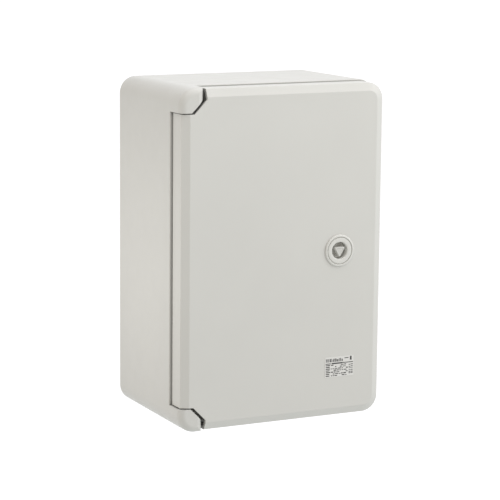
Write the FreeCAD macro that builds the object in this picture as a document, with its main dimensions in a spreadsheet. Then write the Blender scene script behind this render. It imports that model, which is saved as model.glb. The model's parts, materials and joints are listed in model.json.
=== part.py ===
import FreeCAD, Part
import math
import os
import re

import Sketcher
from FreeCAD import Placement, Rotation, Vector

# A wall-mounted dc combiner box: a moulded case with a hinged door, and inside it a plate with two
# rails that carry fuse holders, a breaker, a surge protector and terminals.
# Frame: +Z up, the door faces -Y, the wall is the plane y = 0, and the origin is the middle of the
# wall-fixing holes. "Depth" below is always the distance from the wall, so y = -depth.
# All sizes are in millimetres.

os.makedirs("parts", exist_ok=True)
doc = FreeCAD.newDocument("dc_combiner_box")

# ---------------------------------------------------------------- driving sizes
driving = {
    # case
    "box_width": 200, "box_height": 300, "box_depth": 135.5, "rim_depth": 113.5,
    "wall": 3, "back_wall": 3, "draft_angle": 0.5, "corner_radius": 16, "back_round": 4,
    "rim_flange": 3, "rim_round": 0.8,
    "wall_hole_inset": 15, "wall_hole_radius": 3.2,
    "wall_boss_radius": 7, "wall_boss_height": 4,
    # sealing rim of the case, which the door's gasket presses on
    "seal_left": 82.5, "seal_right": 86, "seal_half_height": 137, "seal_cut": 20,
    "seal_rim": 2.5, "gasket_thickness": 5, "gasket_width": 6, "gasket_rib": 1.8, "gasket_rib_height": 8,
    # hinge corners
    "block_width": 22.5, "block_height": 21.5, "block_cut": 12, "block_round": 6,
    "notch_gap": 2.5, "notch_side_gap": 1,
    "hinge_inset": 5.5, "hinge_depth": 126.5, "pin_radius": 2, "pin_clearance": 0.05,
    "pin_length": 32, "knuckle_radius": 4.2, "knuckle_length": 19,
    # door
    "door_inset": 2, "door_top_gap": 1.3, "seam_gap": 1.8, "door_wall": 2.5,
    "door_corner": 15, "bevel_width": 7, "bevel_depth": 3.7,
    # lock
    "lock_x": 54.8, "lock_z": 1.2, "lock_flange_radius": 14.4, "lock_flange": 1.5,
    "lock_groove_radius": 11.8, "lock_groove_width": 0.8, "lock_groove_depth": 0.6,
    "lock_barrel": 11, "lock_barrel_length": 20, "lock_recess_radius": 7.5, "lock_recess": 7,
    "rotor_radius": 6, "key_radius": 6.2, "key_height": 5.5, "lock_nut_width": 28, "lock_nut_height": 4,
    "cam_reach": 35.5, "cam_width": 14, "cam_thickness": 2, "cam_gap": 0.5, "rotor_square": 7,
    "fit_gap": 0.05,
    # label
    "label_x": 56.8, "label_z": -104, "label_width": 29, "label_height": 18.6, "label_thickness": 0.2,
    # plate and rails
    "plate_width": 150, "plate_height": 250, "plate_thickness": 1.5, "standoff": 9,
    "plate_hole_side_inset": 12, "plate_hole_end_inset": 11, "standoff_radius": 6,
    "screw_radius": 2, "screw_head": 4, "screw_head_height": 2.6, "screw_length": 10,
    "rail_length": 150, "rail_height": 35, "rail_depth": 7.5, "rail_sheet": 1, "rail_channel": 27,
    "upper_rail_inset": 47, "lower_rail_inset": 63, "rail_screw_inset": 5,
    # rail-mounted devices
    "module_pitch": 18, "module_gap": 0.4, "module_height": 84, "module_body": 44, "device_recess": 4.5,
    "rail_play": 0.3, "hook": 3, "entry_depth": 27.5, "entry_radius": 1.9, "entry_length": 10,
    "well_radius": 3, "well_length": 10, "well_inset": 8, "clip_width": 7, "stop_width": 8,
    # fuse holders
    "fuse_left": -62, "fuse_count": 4, "cheek": 1.6, "carrier_play": 0.2, "cavity_low": 22.5,
    "cavity_high": 25.5, "cavity_depth": 30, "nose_length": 17, "carrier_low": 21.5,
    "carrier_high": 22.5, "carrier_back": 32, "carrier_front": 67.5, "carrier_relief": 6.5,
    "pivot_depth": 52.5, "pivot_z": -14, "pivot_radius": 2, "fuse_depth": 37.5, "fuse_radius": 5.15,
    "fuse_length": 38, "fuse_cap": 9, "finger_width": 4, "finger_thickness": 1.6, "comb_depth": 19.5,
    "comb_height": 10, "contact_thickness": 0.4,
    # breaker
    "breaker_left": 16, "breaker_poles": 2, "breaker_nose": 6, "toggle_width": 20,
    "toggle_radius": 7, "toggle_length": 15, "toggle_depth": 45, "toggle_thickness": 5,
    # surge protector
    "surge_left": -62, "surge_ways": 3, "surge_floor": 30, "cartridge_height": 44,
    "cartridge_front": 66, "cartridge_play": 0.3,
    # terminals
    "terminal_left": 8, "terminal_width": 10, "terminal_height": 56, "terminal_body": 42,
    "spare_entry": 9,
    # cable glands
    "gland_depth": 32, "gland_left": -30, "gland_pitch": 34, "gland_count": 4, "gland_thread": 8,
    "gland_hex": 20, "gland_flange": 5, "gland_bore": 5, "gland_cap": 13, "gland_seat": 12.5,
    "gland_seal_bore": 3.5, "gland_locknut": 5, "gland_washer": 1.5,
    # internal leads
    "lead_radius": 1.3,
}

sheet = doc.addObject("Spreadsheet::Sheet", "sizes")
for row, (alias, number) in enumerate(driving.items(), start=1):
    sheet.set(f"A{row}", alias)
    sheet.set(f"B{row}", str(number))
    sheet.setAlias(f"B{row}", alias)
doc.recompute()

gauge = doc.addObject("App::FeaturePython", "gauge")
gauge.addProperty("App::PropertyFloat", "Reading")

nodes = []


# ---------------------------------------------------------------- helpers
def formula(text):
    """Turn the alias words of a formula into references to the sheet."""
    def prefixed(match):
        word = match.group(0)
        return f"sizes.{word}" if word in driving else word
    return re.sub(r"[a-z][a-z_0-9]*", prefixed, str(text))


def bind(thing, prop, text):
    thing.setExpression(prop, formula(text))


def read(text):
    """The present value of a formula."""
    gauge.setExpression("Reading", formula(text))
    gauge.recompute()
    return gauge.Reading


TURNS = {"x": Rotation(Vector(0, 1, 0), 90), "depth": Rotation(Vector(1, 0, 0), 90), "z": Rotation()}


def place(thing, x, depth, z):
    bind(thing, "Placement.Base.x", x)
    bind(thing, "Placement.Base.y", f"-({depth})")
    bind(thing, "Placement.Base.z", z)


def block(name, x, depth, z):
    """A box; each argument is its low and high formula, depth counted from the wall."""
    solid = doc.addObject("Part::Box", name)
    bind(solid, "Length", f"({x[1]}) - ({x[0]})")
    bind(solid, "Width", f"({depth[1]}) - ({depth[0]})")
    bind(solid, "Height", f"({z[1]}) - ({z[0]})")
    place(solid, x[0], depth[1], z[0])
    return solid


def set_along(solid, along, across, span):
    """Stand a round or hexagonal bar on its start, running along x, depth or z."""
    bind(solid, "Height", f"({span[1]}) - ({span[0]})")
    solid.Placement = Placement(Vector(), TURNS[along])
    first, second = across
    if along == "x":
        place(solid, span[0], first, second)
    elif along == "depth":
        place(solid, first, span[0], second)
    else:
        place(solid, first, second, span[0])
    return solid


def rod(name, along, across, radius, span):
    solid = doc.addObject("Part::Cylinder", name)
    bind(solid, "Radius", radius)
    return set_along(solid, along, across, span)


def cone(name, along, across, radii, span):
    solid = doc.addObject("Part::Cone", name)
    bind(solid, "Radius1", radii[0])
    bind(solid, "Radius2", radii[1])
    return set_along(solid, along, across, span)


def hexagon(name, along, across, flats, span, sides=6):
    """A regular prism; flats is twice its inner radius."""
    solid = doc.addObject("Part::Prism", name)
    solid.Polygon = sides
    bind(solid, "Circumradius", f"({flats}) / {2 * math.cos(math.pi / sides):.9f}")
    return set_along(solid, along, across, span)


def join(name, *pieces):
    if len(pieces) == 1:
        return pieces[0]
    whole = doc.addObject("Part::MultiFuse", name)
    whole.Shapes = list(pieces)
    whole.Refine = True
    return whole


def cut(name, base, *tools):
    whole = doc.addObject("Part::Cut", name)
    whole.Base = base
    whole.Tool = join(f"{name}_tools", *tools)
    whole.Refine = True
    return whole


def gather(name, solids):
    """Several equal solids in one sub-part."""
    whole = doc.addObject("Part::Compound", name)
    whole.Links = list(solids)
    return whole


def publish(thing, label):
    thing.Label = label
    nodes.append(thing)
    return thing


def body_of(name):
    return doc.addObject("PartDesign::Body", name)


def sketch_on(body, name, role, offset):
    """A sketch on one of the body's origin planes; on XZ_Plane the offset is a depth."""
    sketch = body.newObject("Sketcher::SketchObject", name)
    plane = [item for item in body.Origin.OriginFeatures if item.Role == role][0]
    sketch.AttachmentSupport = [(plane, "")]
    sketch.MapMode = "FlatFace"
    bind(sketch, "AttachmentOffset.Base.z", offset)
    return sketch


def pin_point(sketch, line, end, point):
    for kind, text in zip(("DistanceX", "DistanceY"), point):
        value = read(text)
        index = sketch.addConstraint(Sketcher.Constraint(kind, -1, 1, line, end, value))
        bind(sketch, f"Constraints[{index}]", text)


def draw_polygon(sketch, points):
    values = [Vector(read(u), read(v), 0) for u, v in points]
    count = len(values)
    first = sketch.GeometryCount
    for i in range(count):
        sketch.addGeometry(Part.LineSegment(values[i], values[(i + 1) % count]), False)
    for i in range(count):
        follower = first + (i + 1) % count
        sketch.addConstraint(Sketcher.Constraint("Coincident", first + i, 2, follower, 1))
    for i, point in enumerate(points):
        pin_point(sketch, first + i, 1, point)


def draw_rounded(sketch, left, right, low, high, radius):
    """A rectangle with four equal round corners."""
    x0, x1, z0, z1, r = (read(text) for text in (left, right, low, high, radius))
    corners = [(x1 - r, z0 + r, -90), (x1 - r, z1 - r, 0), (x0 + r, z1 - r, 90), (x0 + r, z0 + r, 180)]
    sides = [((x0 + r, z0), (x1 - r, z0)), ((x1, z0 + r), (x1, z1 - r)),
             ((x1 - r, z1), (x0 + r, z1)), ((x0, z1 - r), (x0, z0 + r))]
    for (start, end), (cx, cz, angle) in zip(sides, corners):
        sketch.addGeometry(Part.LineSegment(Vector(*start, 0), Vector(*end, 0)), False)
        circle = Part.Circle(Vector(cx, cz, 0), Vector(0, 0, 1), r)
        begin = math.radians(angle)
        sketch.addGeometry(Part.ArcOfCircle(circle, begin, begin + math.pi / 2), False)
    for i in range(4):
        line, arc, after = 2 * i, 2 * i + 1, (2 * i + 2) % 8
        sketch.addConstraint(Sketcher.Constraint("Tangent", line, 2, arc, 1))
        sketch.addConstraint(Sketcher.Constraint("Tangent", arc, 2, after, 1))
        sketch.addConstraint(Sketcher.Constraint("Horizontal" if i % 2 == 0 else "Vertical", line))
        if i:
            sketch.addConstraint(Sketcher.Constraint("Equal", 1, arc))
    index = sketch.addConstraint(Sketcher.Constraint("Radius", 1, r))
    bind(sketch, f"Constraints[{index}]", radius)
    for kind, line, text in (("DistanceY", 0, low), ("DistanceX", 2, right),
                             ("DistanceY", 4, high), ("DistanceX", 6, left)):
        index = sketch.addConstraint(Sketcher.Constraint(kind, -1, 1, line, 1, read(text)))
        bind(sketch, f"Constraints[{index}]", text)


def extrude(body, kind, sketch, length, backwards=False, taper=None, middle=False):
    """A Pad or a Pocket, checked to have added or taken material."""
    before = body.Shape.Volume if body.Tip else 0
    feature = body.newObject(f"PartDesign::{kind}", f"{sketch.Name}_{kind.lower()}")
    feature.Profile = sketch
    feature.Reversed = backwards
    feature.Midplane = middle
    bind(feature, "Length", length)
    if taper:
        bind(feature, "TaperAngle", taper)
    sketch.Visibility = False
    doc.recompute()
    change = body.Shape.Volume - before
    if (change > 0) != (kind == "Pad"):
        raise RuntimeError(f"{feature.Name} points the wrong way: {change:.1f}")
    return feature


def round_edges(body, name, wanted, radius):
    """Fillet the edges whose middle point and direction pass a test."""
    tip = body.Tip
    names = []
    for number, edge in enumerate(tip.Shape.Edges, start=1):
        middle = edge.valueAt((edge.FirstParameter + edge.LastParameter) / 2)
        if wanted(edge, middle):
            names.append(f"Edge{number}")
    feature = body.newObject("PartDesign::Fillet", name)
    feature.Base = (tip, names)
    bind(feature, "Radius", radius)
    doc.recompute()
    return feature


# ---------------------------------------------------------------- shared places
half_width = "box_width / 2"
half_height = "box_height / 2"
door_back = "(rim_depth + seam_gap)"
door_inside = "(box_depth - door_wall)"
seal_face = f"({door_inside} - gasket_thickness)"
hinge_x = "(-box_width / 2 + hinge_inset)"
plate_back = "(back_wall + standoff)"
plate_front = f"({plate_back} + plate_thickness)"
rail_face = f"({plate_front} + rail_depth)"
device_back = f"({rail_face} - device_recess)"
shoulder = f"({device_back} + module_body)"
entry = f"({device_back} + entry_depth)"
wall_hole_x = f"({half_width} - wall_hole_inset)"
wall_hole_z = f"({half_height} - wall_hole_inset)"
plate_hole_x = "(plate_width / 2 - plate_hole_side_inset)"
plate_hole_z = "(plate_height / 2 - plate_hole_end_inset)"
rail_screw_x = "(rail_length / 2 - rail_screw_inset)"
upper_rail = "(plate_height / 2 - upper_rail_inset)"
lower_rail = "(-plate_height / 2 + lower_rail_inset)"


def seal_outline(grow):
    """The cut-cornered path of the seal, grown outwards by a formula."""
    left, right = f"(-seal_left - ({grow}))", f"(seal_right + ({grow}))"
    high = f"(seal_half_height + ({grow}))"
    cut_size = f"(seal_cut + {2 - math.sqrt(2):.9f} * ({grow}))"
    return [(f"{left} + {cut_size}", f"-{high}"), (f"{right} - {cut_size}", f"-{high}"),
            (right, f"-{high} + {cut_size}"), (right, f"{high} - {cut_size}"),
            (f"{right} - {cut_size}", high), (f"{left} + {cut_size}", high),
            (left, f"{high} - {cut_size}"), (left, f"-{high} + {cut_size}")]


# ---------------------------------------------------------------- case
def gland_x(index):
    return f"(gland_left + {index} * gland_pitch)"


def make_case():
    body = body_of("case_moulding")
    outer = sketch_on(body, "case_outline", "XZ_Plane", "rim_depth")
    draw_rounded(outer, f"-{half_width}", half_width, f"-{half_height}", half_height, "corner_radius")
    extrude(body, "Pad", outer, "rim_depth", backwards=True, taper="-draft_angle")
    round_edges(body, "case_back_round", lambda edge, middle: abs(middle.y) < 0.01, "back_round")
    rim = read("rim_depth")
    round_edges(body, "case_rim_round", lambda edge, middle: abs(middle.y + rim) < 0.01, "rim_round")

    inner = sketch_on(body, "case_inside", "XZ_Plane", "rim_depth - rim_flange")
    draw_rounded(inner, f"-{half_width} + wall", f"{half_width} - wall", f"-{half_height} + wall",
                 f"{half_height} - wall", "corner_radius - wall")
    extrude(body, "Pocket", inner, "rim_depth - rim_flange - back_wall", taper="-draft_angle")

    rim_outline = sketch_on(body, "seal_rim_outline", "XZ_Plane", "rim_depth")
    draw_polygon(rim_outline, seal_outline("0"))
    extrude(body, "Pad", rim_outline, f"{seal_face} - rim_depth")
    mouth = sketch_on(body, "mouth_outline", "XZ_Plane", seal_face)
    draw_polygon(mouth, seal_outline("-seal_rim"))
    extrude(body, "Pocket", mouth, f"{seal_face} - rim_depth + rim_flange")
    return body


def make_hinge_block(name, side):
    """A fixed corner of the case, level with the door's face; side is 1 at the top, -1 below."""
    body = body_of(name)
    outline = sketch_on(body, f"{name}_outline", "XZ_Plane", "rim_depth - rim_flange")
    inner_z = f"{side} * ({half_height} - block_height)"
    points = [(f"-{half_width}", inner_z),
              (f"-{half_width} + block_width - block_cut", inner_z),
              (f"-{half_width} + block_width", f"{inner_z} + {side} * block_cut"),
              (f"-{half_width} + block_width", f"{side} * {half_height}"),
              (f"-{half_width}", f"{side} * {half_height}")]
    draw_polygon(outline, points if side > 0 else points[::-1])
    extrude(body, "Pad", outline, "box_depth - rim_depth + rim_flange")
    left, edge_z = read(f"-{half_width}"), side * read(half_height)
    front = -read("box_depth")
    round_edges(body, f"{name}_corner",
                lambda edge, middle: abs(middle.x - left) < 0.01 and abs(middle.z - edge_z) < 0.01,
                "corner_radius")

    def outer_front(edge, middle):
        outside = middle.x < left + 6 or abs(middle.z - edge_z) < 6
        return abs(middle.y - front) < 0.01 and outside and abs(middle.z - read(inner_z)) > 0.5
    round_edges(body, f"{name}_front_round", outer_front, "block_round")
    return body


def make_case_shell():
    pieces = [make_case(), make_hinge_block("top_hinge_block", 1), make_hinge_block("low_hinge_block", -1)]
    holes = []
    for sx in (-1, 1):
        for sz in (-1, 1):
            tag = f"{'left' if sx < 0 else 'right'}_{'low' if sz < 0 else 'top'}"
            at = (f"{sx} * {wall_hole_x}", f"{sz} * {wall_hole_z}")
            pieces.append(rod(f"wall_boss_{tag}", "depth", at, "wall_boss_radius",
                              ("back_wall / 2", "back_wall + wall_boss_height")))
            holes.append(rod(f"wall_hole_{tag}", "depth", at, "wall_hole_radius",
                             ("-1", "back_wall + wall_boss_height + 1")))
            at = (f"{sx} * {plate_hole_x}", f"{sz} * {plate_hole_z}")
            pieces.append(rod(f"standoff_{tag}", "depth", at, "standoff_radius",
                              ("back_wall / 2", plate_back)))
            holes.append(rod(f"standoff_hole_{tag}", "depth", at, "screw_radius + fit_gap",
                             ("back_wall", f"{plate_back} + 1")))
    for i in range(int(driving["gland_count"])):
        at = (gland_x(i), "gland_depth")
        pieces.append(rod(f"gland_seat_{i + 1}", "z", at, "gland_seat",
                          (f"-{half_height}", f"-{half_height} + wall + 1")))
        holes.append(rod(f"gland_hole_{i + 1}", "z", at, "gland_thread + fit_gap",
                         (f"-{half_height} - 1", f"-{half_height} + wall + 2")))
    for side, tag in ((1, "top"), (-1, "low")):
        span = pin_span(side)
        holes.append(rod(f"pin_hole_{tag}", "z", (hinge_x, "hinge_depth"), "pin_radius + fit_gap", span))
    publish(cut("case_shell_cut", join("case_shell_join", *pieces), *holes), "case_shell")


def pin_span(side):
    """Low and high ends of a hinge pin, half of it in the block and half in the door."""
    middle = f"{side} * ({half_height} - block_height)"
    return f"{middle} - pin_length / 2", f"{middle} + pin_length / 2"


def make_hinge_pins():
    pins = [rod(f"pin_{tag}", "z", (hinge_x, "hinge_depth"), "pin_radius", pin_span(side))
            for side, tag in ((1, "top"), (-1, "low"))]
    publish(gather("pins", pins), "hinge_pins")


# ---------------------------------------------------------------- door
def make_door():
    side = f"({half_width} - door_inset)"
    top = f"({half_height} - door_top_gap)"
    slope = "atan(bevel_width / bevel_depth)"
    body = body_of("door_moulding")
    skirt = sketch_on(body, "door_outline", "XZ_Plane", door_back)
    draw_rounded(skirt, f"-{side}", side, f"-{top}", top, "door_corner")
    extrude(body, "Pad", skirt, f"box_depth - bevel_depth - {door_back}")
    bevel = sketch_on(body, "bevel_outline", "XZ_Plane", "box_depth - bevel_depth")
    draw_rounded(bevel, f"-{side}", side, f"-{top}", top, "door_corner")
    extrude(body, "Pad", bevel, "bevel_depth", taper=f"-{slope}")
    back, front, bend = -read(door_back), -read("box_depth"), -read("box_depth - bevel_depth")
    round_edges(body, "door_back_round", lambda edge, middle: abs(middle.y - back) < 0.01, "rim_round")
    round_edges(body, "door_front_round", lambda edge, middle: abs(middle.y - front) < 0.01, "rim_round")
    round_edges(body, "door_bend_round", lambda edge, middle: abs(middle.y - bend) < 0.01, "rim_round")

    inside = [f"-{side} + door_wall", f"{side} - door_wall", f"-{top} + door_wall", f"{top} - door_wall"]
    hollow = sketch_on(body, "door_hollow", "XZ_Plane", door_back)
    draw_rounded(hollow, *inside, "door_corner - door_wall")
    extrude(body, "Pocket", hollow, f"box_depth - bevel_depth - door_wall - {door_back}", backwards=True)
    dish = sketch_on(body, "door_dish", "XZ_Plane", "box_depth - bevel_depth - door_wall")
    draw_rounded(dish, *inside, "door_corner - door_wall")
    extrude(body, "Pocket", dish, "bevel_depth", backwards=True, taper=f"-{slope}")

    channel = [("outer", "gasket_width / 2 - seal_rim / 2 + fit_gap + gasket_rib",
                "gasket_width / 2 - seal_rim / 2 + fit_gap"),
               ("inner", "-gasket_width / 2 - seal_rim / 2 - fit_gap",
                "-gasket_width / 2 - seal_rim / 2 - fit_gap - gasket_rib")]
    for tag, grow, shrink in channel:
        rib = sketch_on(body, f"{tag}_rib", "XZ_Plane", door_inside)
        draw_polygon(rib, seal_outline(grow))
        draw_polygon(rib, seal_outline(shrink))
        extrude(body, "Pad", rib, "gasket_rib_height", backwards=True)
    for sign, tag in ((1, "top"), (-1, "low")):
        notch = sketch_on(body, f"{tag}_notch", "XZ_Plane", "rim_depth")
        left = f"-{half_width} - 1"
        low = f"{sign} * ({half_height} - block_height - notch_side_gap)"
        right = f"-{half_width} + block_width + notch_gap"
        points = [(left, low), (f"{right} - block_cut", low), (right, f"{low} + {sign} * block_cut"),
                  (right, f"{sign} * ({half_height} + 1)"), (left, f"{sign} * ({half_height} + 1)")]
        draw_polygon(notch, points if sign > 0 else points[::-1])
        extrude(body, "Pocket", notch, "box_depth - rim_depth + 1", backwards=True)
    return body


def make_door_panel():
    knuckles, bores = [], []
    for sign, tag in ((1, "top"), (-1, "low")):
        end = f"({half_height} - block_height - notch_side_gap)"
        span = [f"{sign} * {end}", f"{sign} * ({end} - knuckle_length)"][::-sign]
        knuckles.append(rod(f"knuckle_{tag}", "z", (hinge_x, "hinge_depth"), "knuckle_radius - 0.7", span))
        web_x = (f"-{half_width} + door_inset + 1", f"{hinge_x} + knuckle_radius")
        knuckles.append(block(f"knuckle_web_{tag}", web_x,
                              ("hinge_depth - knuckle_radius + 1.5", "box_depth - bevel_depth - 0.5"), span))
        bores.append(rod(f"knuckle_bore_{tag}", "z", (hinge_x, "hinge_depth"),
                         "pin_radius + pin_clearance", pin_span(sign)))
    bores.append(rod("lock_hole", "depth", ("lock_x", "lock_z"), "lock_barrel + fit_gap",
                     (f"{door_inside} - 1", "box_depth + 1")))
    publish(cut("door_cut", join("door_join", make_door(), *knuckles), *bores), "door_panel")


def make_gasket():
    body = body_of("gasket_strip")
    loop = sketch_on(body, "gasket_loop", "XZ_Plane", seal_face)
    draw_polygon(loop, seal_outline("gasket_width / 2 - seal_rim / 2"))
    draw_polygon(loop, seal_outline("-gasket_width / 2 - seal_rim / 2"))
    extrude(body, "Pad", loop, "gasket_thickness")
    publish(body, "door_gasket")


# ---------------------------------------------------------------- lock
lock_at = ("lock_x", "lock_z")
recess_floor = "(box_depth + lock_flange - lock_recess)"
cam_front = "(rim_depth - rim_flange - cam_gap)"


def make_lock():
    ring_front = "(box_depth + lock_flange)"
    flange = rod("lock_ring", "depth", lock_at, "lock_flange_radius", ("box_depth", ring_front))
    barrel = rod("lock_tube", "depth", lock_at, "lock_barrel",
                 ("box_depth - lock_barrel_length", "box_depth + lock_flange / 2"))
    recess = rod("lock_recess_hole", "depth", lock_at, "lock_recess_radius",
                 (recess_floor, f"{ring_front} + 1"))
    groove_span = (f"{ring_front} - lock_groove_depth", f"{ring_front} + 1")
    groove = cut("lock_groove",
                 rod("lock_groove_outer", "depth", lock_at, "lock_groove_radius + lock_groove_width / 2",
                     groove_span),
                 rod("lock_groove_inner", "depth", lock_at, "lock_groove_radius - lock_groove_width / 2",
                     groove_span))
    bore = rod("lock_bore", "depth", lock_at, "rotor_radius + fit_gap", ("rim_depth", "box_depth"))
    publish(cut("lock_case", join("lock_blank", flange, barrel), recess, groove, bore), "lock_housing")

    shaft = rod("rotor_shaft", "depth", lock_at, "rotor_radius", (cam_front, recess_floor))
    disc = rod("rotor_disc", "depth", lock_at, "lock_recess_radius - 3 * fit_gap",
               (recess_floor, f"{recess_floor} + 1"))
    key = hexagon("rotor_key", "depth", lock_at, "key_radius",
                  (f"{recess_floor} + 0.5", f"{recess_floor} + key_height"), sides=3)
    key.Placement = Placement(Vector(), TURNS["depth"].multiply(Rotation(Vector(0, 0, 1), -90)))
    place(key, "lock_x", f"{recess_floor} + 0.5", "lock_z")
    half = "rotor_square / 2"
    tail = block("rotor_tail", (f"lock_x - {half}", f"lock_x + {half}"),
                 (f"{cam_front} - cam_thickness", f"{cam_front} + 1"),
                 (f"lock_z - {half}", f"lock_z + {half}"))
    thread = rod("rotor_thread", "depth", lock_at, "screw_radius + fit_gap",
                 (f"{cam_front} - cam_thickness - 1", f"{cam_front} + 8"))
    publish(cut("rotor_cut", join("rotor_blank", shaft, disc, key, tail), thread), "lock_rotor")

    plane = (f"{cam_front} - cam_thickness", cam_front)
    arm = block("cam_arm", ("lock_x - cam_width / 2", "lock_x + cam_width / 2"), plane,
                ("lock_z - cam_reach", "lock_z"))
    eye = rod("cam_eye", "depth", lock_at, "cam_width / 2", plane)
    hole = "(rotor_square / 2 + fit_gap)"
    square = block("cam_square", (f"lock_x - {hole}", f"lock_x + {hole}"),
                   (f"{cam_front} - cam_thickness - 1", f"{cam_front} + 1"),
                   (f"lock_z - {hole}", f"lock_z + {hole}"))
    publish(cut("cam_cut", join("cam_blank", arm, eye), square), "lock_cam")

    head = rod("cam_screw_head", "depth", lock_at, "rotor_square * 0.8",
               (f"{cam_front} - cam_thickness - screw_head_height", f"{cam_front} - cam_thickness"))
    shank = rod("cam_screw_shank", "depth", lock_at, "screw_radius",
                (f"{cam_front} - cam_thickness - 1", f"{cam_front} + 7"))
    publish(join("cam_screw_join", head, shank), "lock_cam_screw")

    nut = hexagon("nut_blank", "depth", lock_at, "lock_nut_width",
                  (f"{door_inside} - lock_nut_height", door_inside))
    nut_hole = rod("nut_hole", "depth", lock_at, "lock_barrel + fit_gap",
                   (f"{door_inside} - lock_nut_height - 1", f"{door_inside} + 1"))
    publish(cut("nut_cut", nut, nut_hole), "lock_nut")


def make_label():
    label = block("label_plate", ("label_x - label_width / 2", "label_x + label_width / 2"),
                  ("box_depth", "box_depth + label_thickness"),
                  ("label_z - label_height / 2", "label_z + label_height / 2"))
    publish(label, "rating_label")


# ---------------------------------------------------------------- plate and rails
def cross_screw(name, x, z, seat):
    """A pan-head screw along the depth, its head on the seat and a slot across the head."""
    head = rod(f"{name}_head", "depth", (x, z), "screw_head", (seat, f"{seat} + screw_head_height"))
    shank = rod(f"{name}_shank", "depth", (x, z), "screw_radius",
                (f"{seat} - screw_length + 1", f"{seat} + 1"))
    slot = block(f"{name}_slot", (f"{x} - screw_head - 1", f"{x} + screw_head + 1"),
                 (f"{seat} + screw_head_height - 1", f"{seat} + screw_head_height + 1"),
                 (f"{z} - 0.5", f"{z} + 0.5"))
    return cut(f"{name}_cut", join(f"{name}_join", head, shank), slot)


def make_plate():
    sheet_metal = block("plate_blank", ("-plate_width / 2", "plate_width / 2"), (plate_back, plate_front),
                        ("-plate_height / 2", "plate_height / 2"))
    holes, screws = [], []
    for sx in (-1, 1):
        for sz in (-1, 1):
            tag = f"{'left' if sx < 0 else 'right'}_{'low' if sz < 0 else 'top'}"
            x, z = f"({sx} * {plate_hole_x})", f"({sz} * {plate_hole_z})"
            holes.append(rod(f"plate_hole_{tag}", "depth", (x, z), "screw_radius + fit_gap",
                             (f"{plate_back} - 1", f"{plate_front} + 1")))
            screws.append(cross_screw(f"plate_screw_{tag}", x, z, plate_front))
    for rail_z, tag in ((upper_rail, "upper"), (lower_rail, "lower")):
        for sx in (-1, 1):
            holes.append(rod(f"rail_thread_{tag}_{'left' if sx < 0 else 'right'}", "depth",
                             (f"{sx} * {rail_screw_x}", rail_z), "screw_radius + fit_gap",
                             (f"{plate_back} - 1", f"{plate_front} + 1")))
    publish(cut("plate_cut", sheet_metal, *holes), "mounting_plate")
    publish(gather("plate_screw_set", screws), "plate_screws")


def make_rail(tag, rail_z):
    """A 35 mm top-hat rail: a channel with a lip above and below."""
    ends = ("-rail_length / 2", "rail_length / 2")
    half = "rail_channel / 2"
    web = block(f"{tag}_web", ends, (plate_front, f"{plate_front} + rail_sheet"),
                (f"{rail_z} - {half}", f"{rail_z} + {half}"))
    parts = [web]
    for side, word in ((1, "high"), (-1, "low")):
        walls = sorted((f"{rail_z} + {side} * {half}",
                        f"{rail_z} + {side} * ({half} - rail_sheet)"), key=read)
        parts.append(block(f"{tag}_{word}_wall", ends, (plate_front, rail_face), walls))
        lips = sorted((f"{rail_z} + {side} * rail_height / 2",
                       f"{rail_z} + {side} * ({half} - rail_sheet)"), key=read)
        parts.append(block(f"{tag}_{word}_lip", ends, (f"{rail_face} - rail_sheet", rail_face), lips))
    holes = [rod(f"{tag}_hole_{i}", "depth", (f"{sx} * {rail_screw_x}", rail_z), "screw_radius + fit_gap",
                 (f"{plate_front} - 1", f"{plate_front} + rail_sheet + 1")) for i, sx in enumerate((-1, 1))]
    publish(cut(f"{tag}_rail_cut", join(f"{tag}_rail_join", *parts), *holes), f"din_rail_{tag}")


def make_rail_screws():
    screws = [cross_screw(f"rail_screw_{row}_{i}", f"({sx} * {rail_screw_x})", rail_z,
                          f"({plate_front} + rail_sheet)")
              for row, rail_z in (("upper", upper_rail), ("lower", lower_rail))
              for i, sx in enumerate((-1, 1))]
    publish(gather("rail_screw_set", screws), "rail_screws")


# ---------------------------------------------------------------- rail-mounted devices
def device_blank(name, x, rail_z, half_tall, front):
    """The block of a device with the rail's slot behind it, its fixed hook above the rail's lip."""
    mass = block(f"{name}_mass", x, (device_back, front),
                 (f"{rail_z} - {half_tall}", f"{rail_z} + {half_tall}"))
    slot = block(f"{name}_slot", (f"{x[0]} - 1", f"{x[1]} + 1"), (f"{device_back} - 1", rail_face),
                 (f"{rail_z} - rail_height / 2 - rail_play", f"{rail_z} + rail_height / 2 + rail_play"))
    hook = block(f"{name}_hook", x, (device_back, f"{rail_face} - rail_sheet - rail_play"),
                 (f"{rail_z} + rail_height / 2 - hook", f"{rail_z} + rail_height / 2 + rail_play + 1"))
    return join(f"{name}_hooked", cut(f"{name}_slotted", mass, slot), hook)


def rail_clip(name, x, rail_z, half_tall):
    """The sliding foot under a device, its nose behind the rail's lower lip."""
    sides = (f"{x} - clip_width / 2", f"{x} + clip_width / 2")
    nose = block(f"{name}_nose", sides, (f"{device_back} - 1", f"{rail_face} - rail_sheet - rail_play"),
                 (f"{rail_z} - rail_height / 2 - rail_play", f"{rail_z} - rail_height / 2 + hook"))
    foot = block(f"{name}_foot", sides, (f"{device_back} - 1", f"{device_back}"),
                 (f"{rail_z} - {half_tall} - 4", f"{rail_z} - rail_height / 2 + hook"))
    return join(f"{name}_clip", nose, foot)


def terminal_tools(name, x, rail_z, half_tall, side, front):
    """The wire entry in the top or bottom face and the screw well in the shoulder before it."""
    face = f"({rail_z} + {side} * {half_tall})"
    span = sorted((face + f" + {side}", f"{face} - {side} * entry_length"), key=read)
    wire = rod(f"{name}_entry", "z", (x, entry), "entry_radius", span)
    well = rod(f"{name}_well", "depth", (x, f"{face} - {side} * well_inset"), "well_radius",
               (f"{front} - well_length", f"{front} + 1"))
    return [wire, well]


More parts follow.
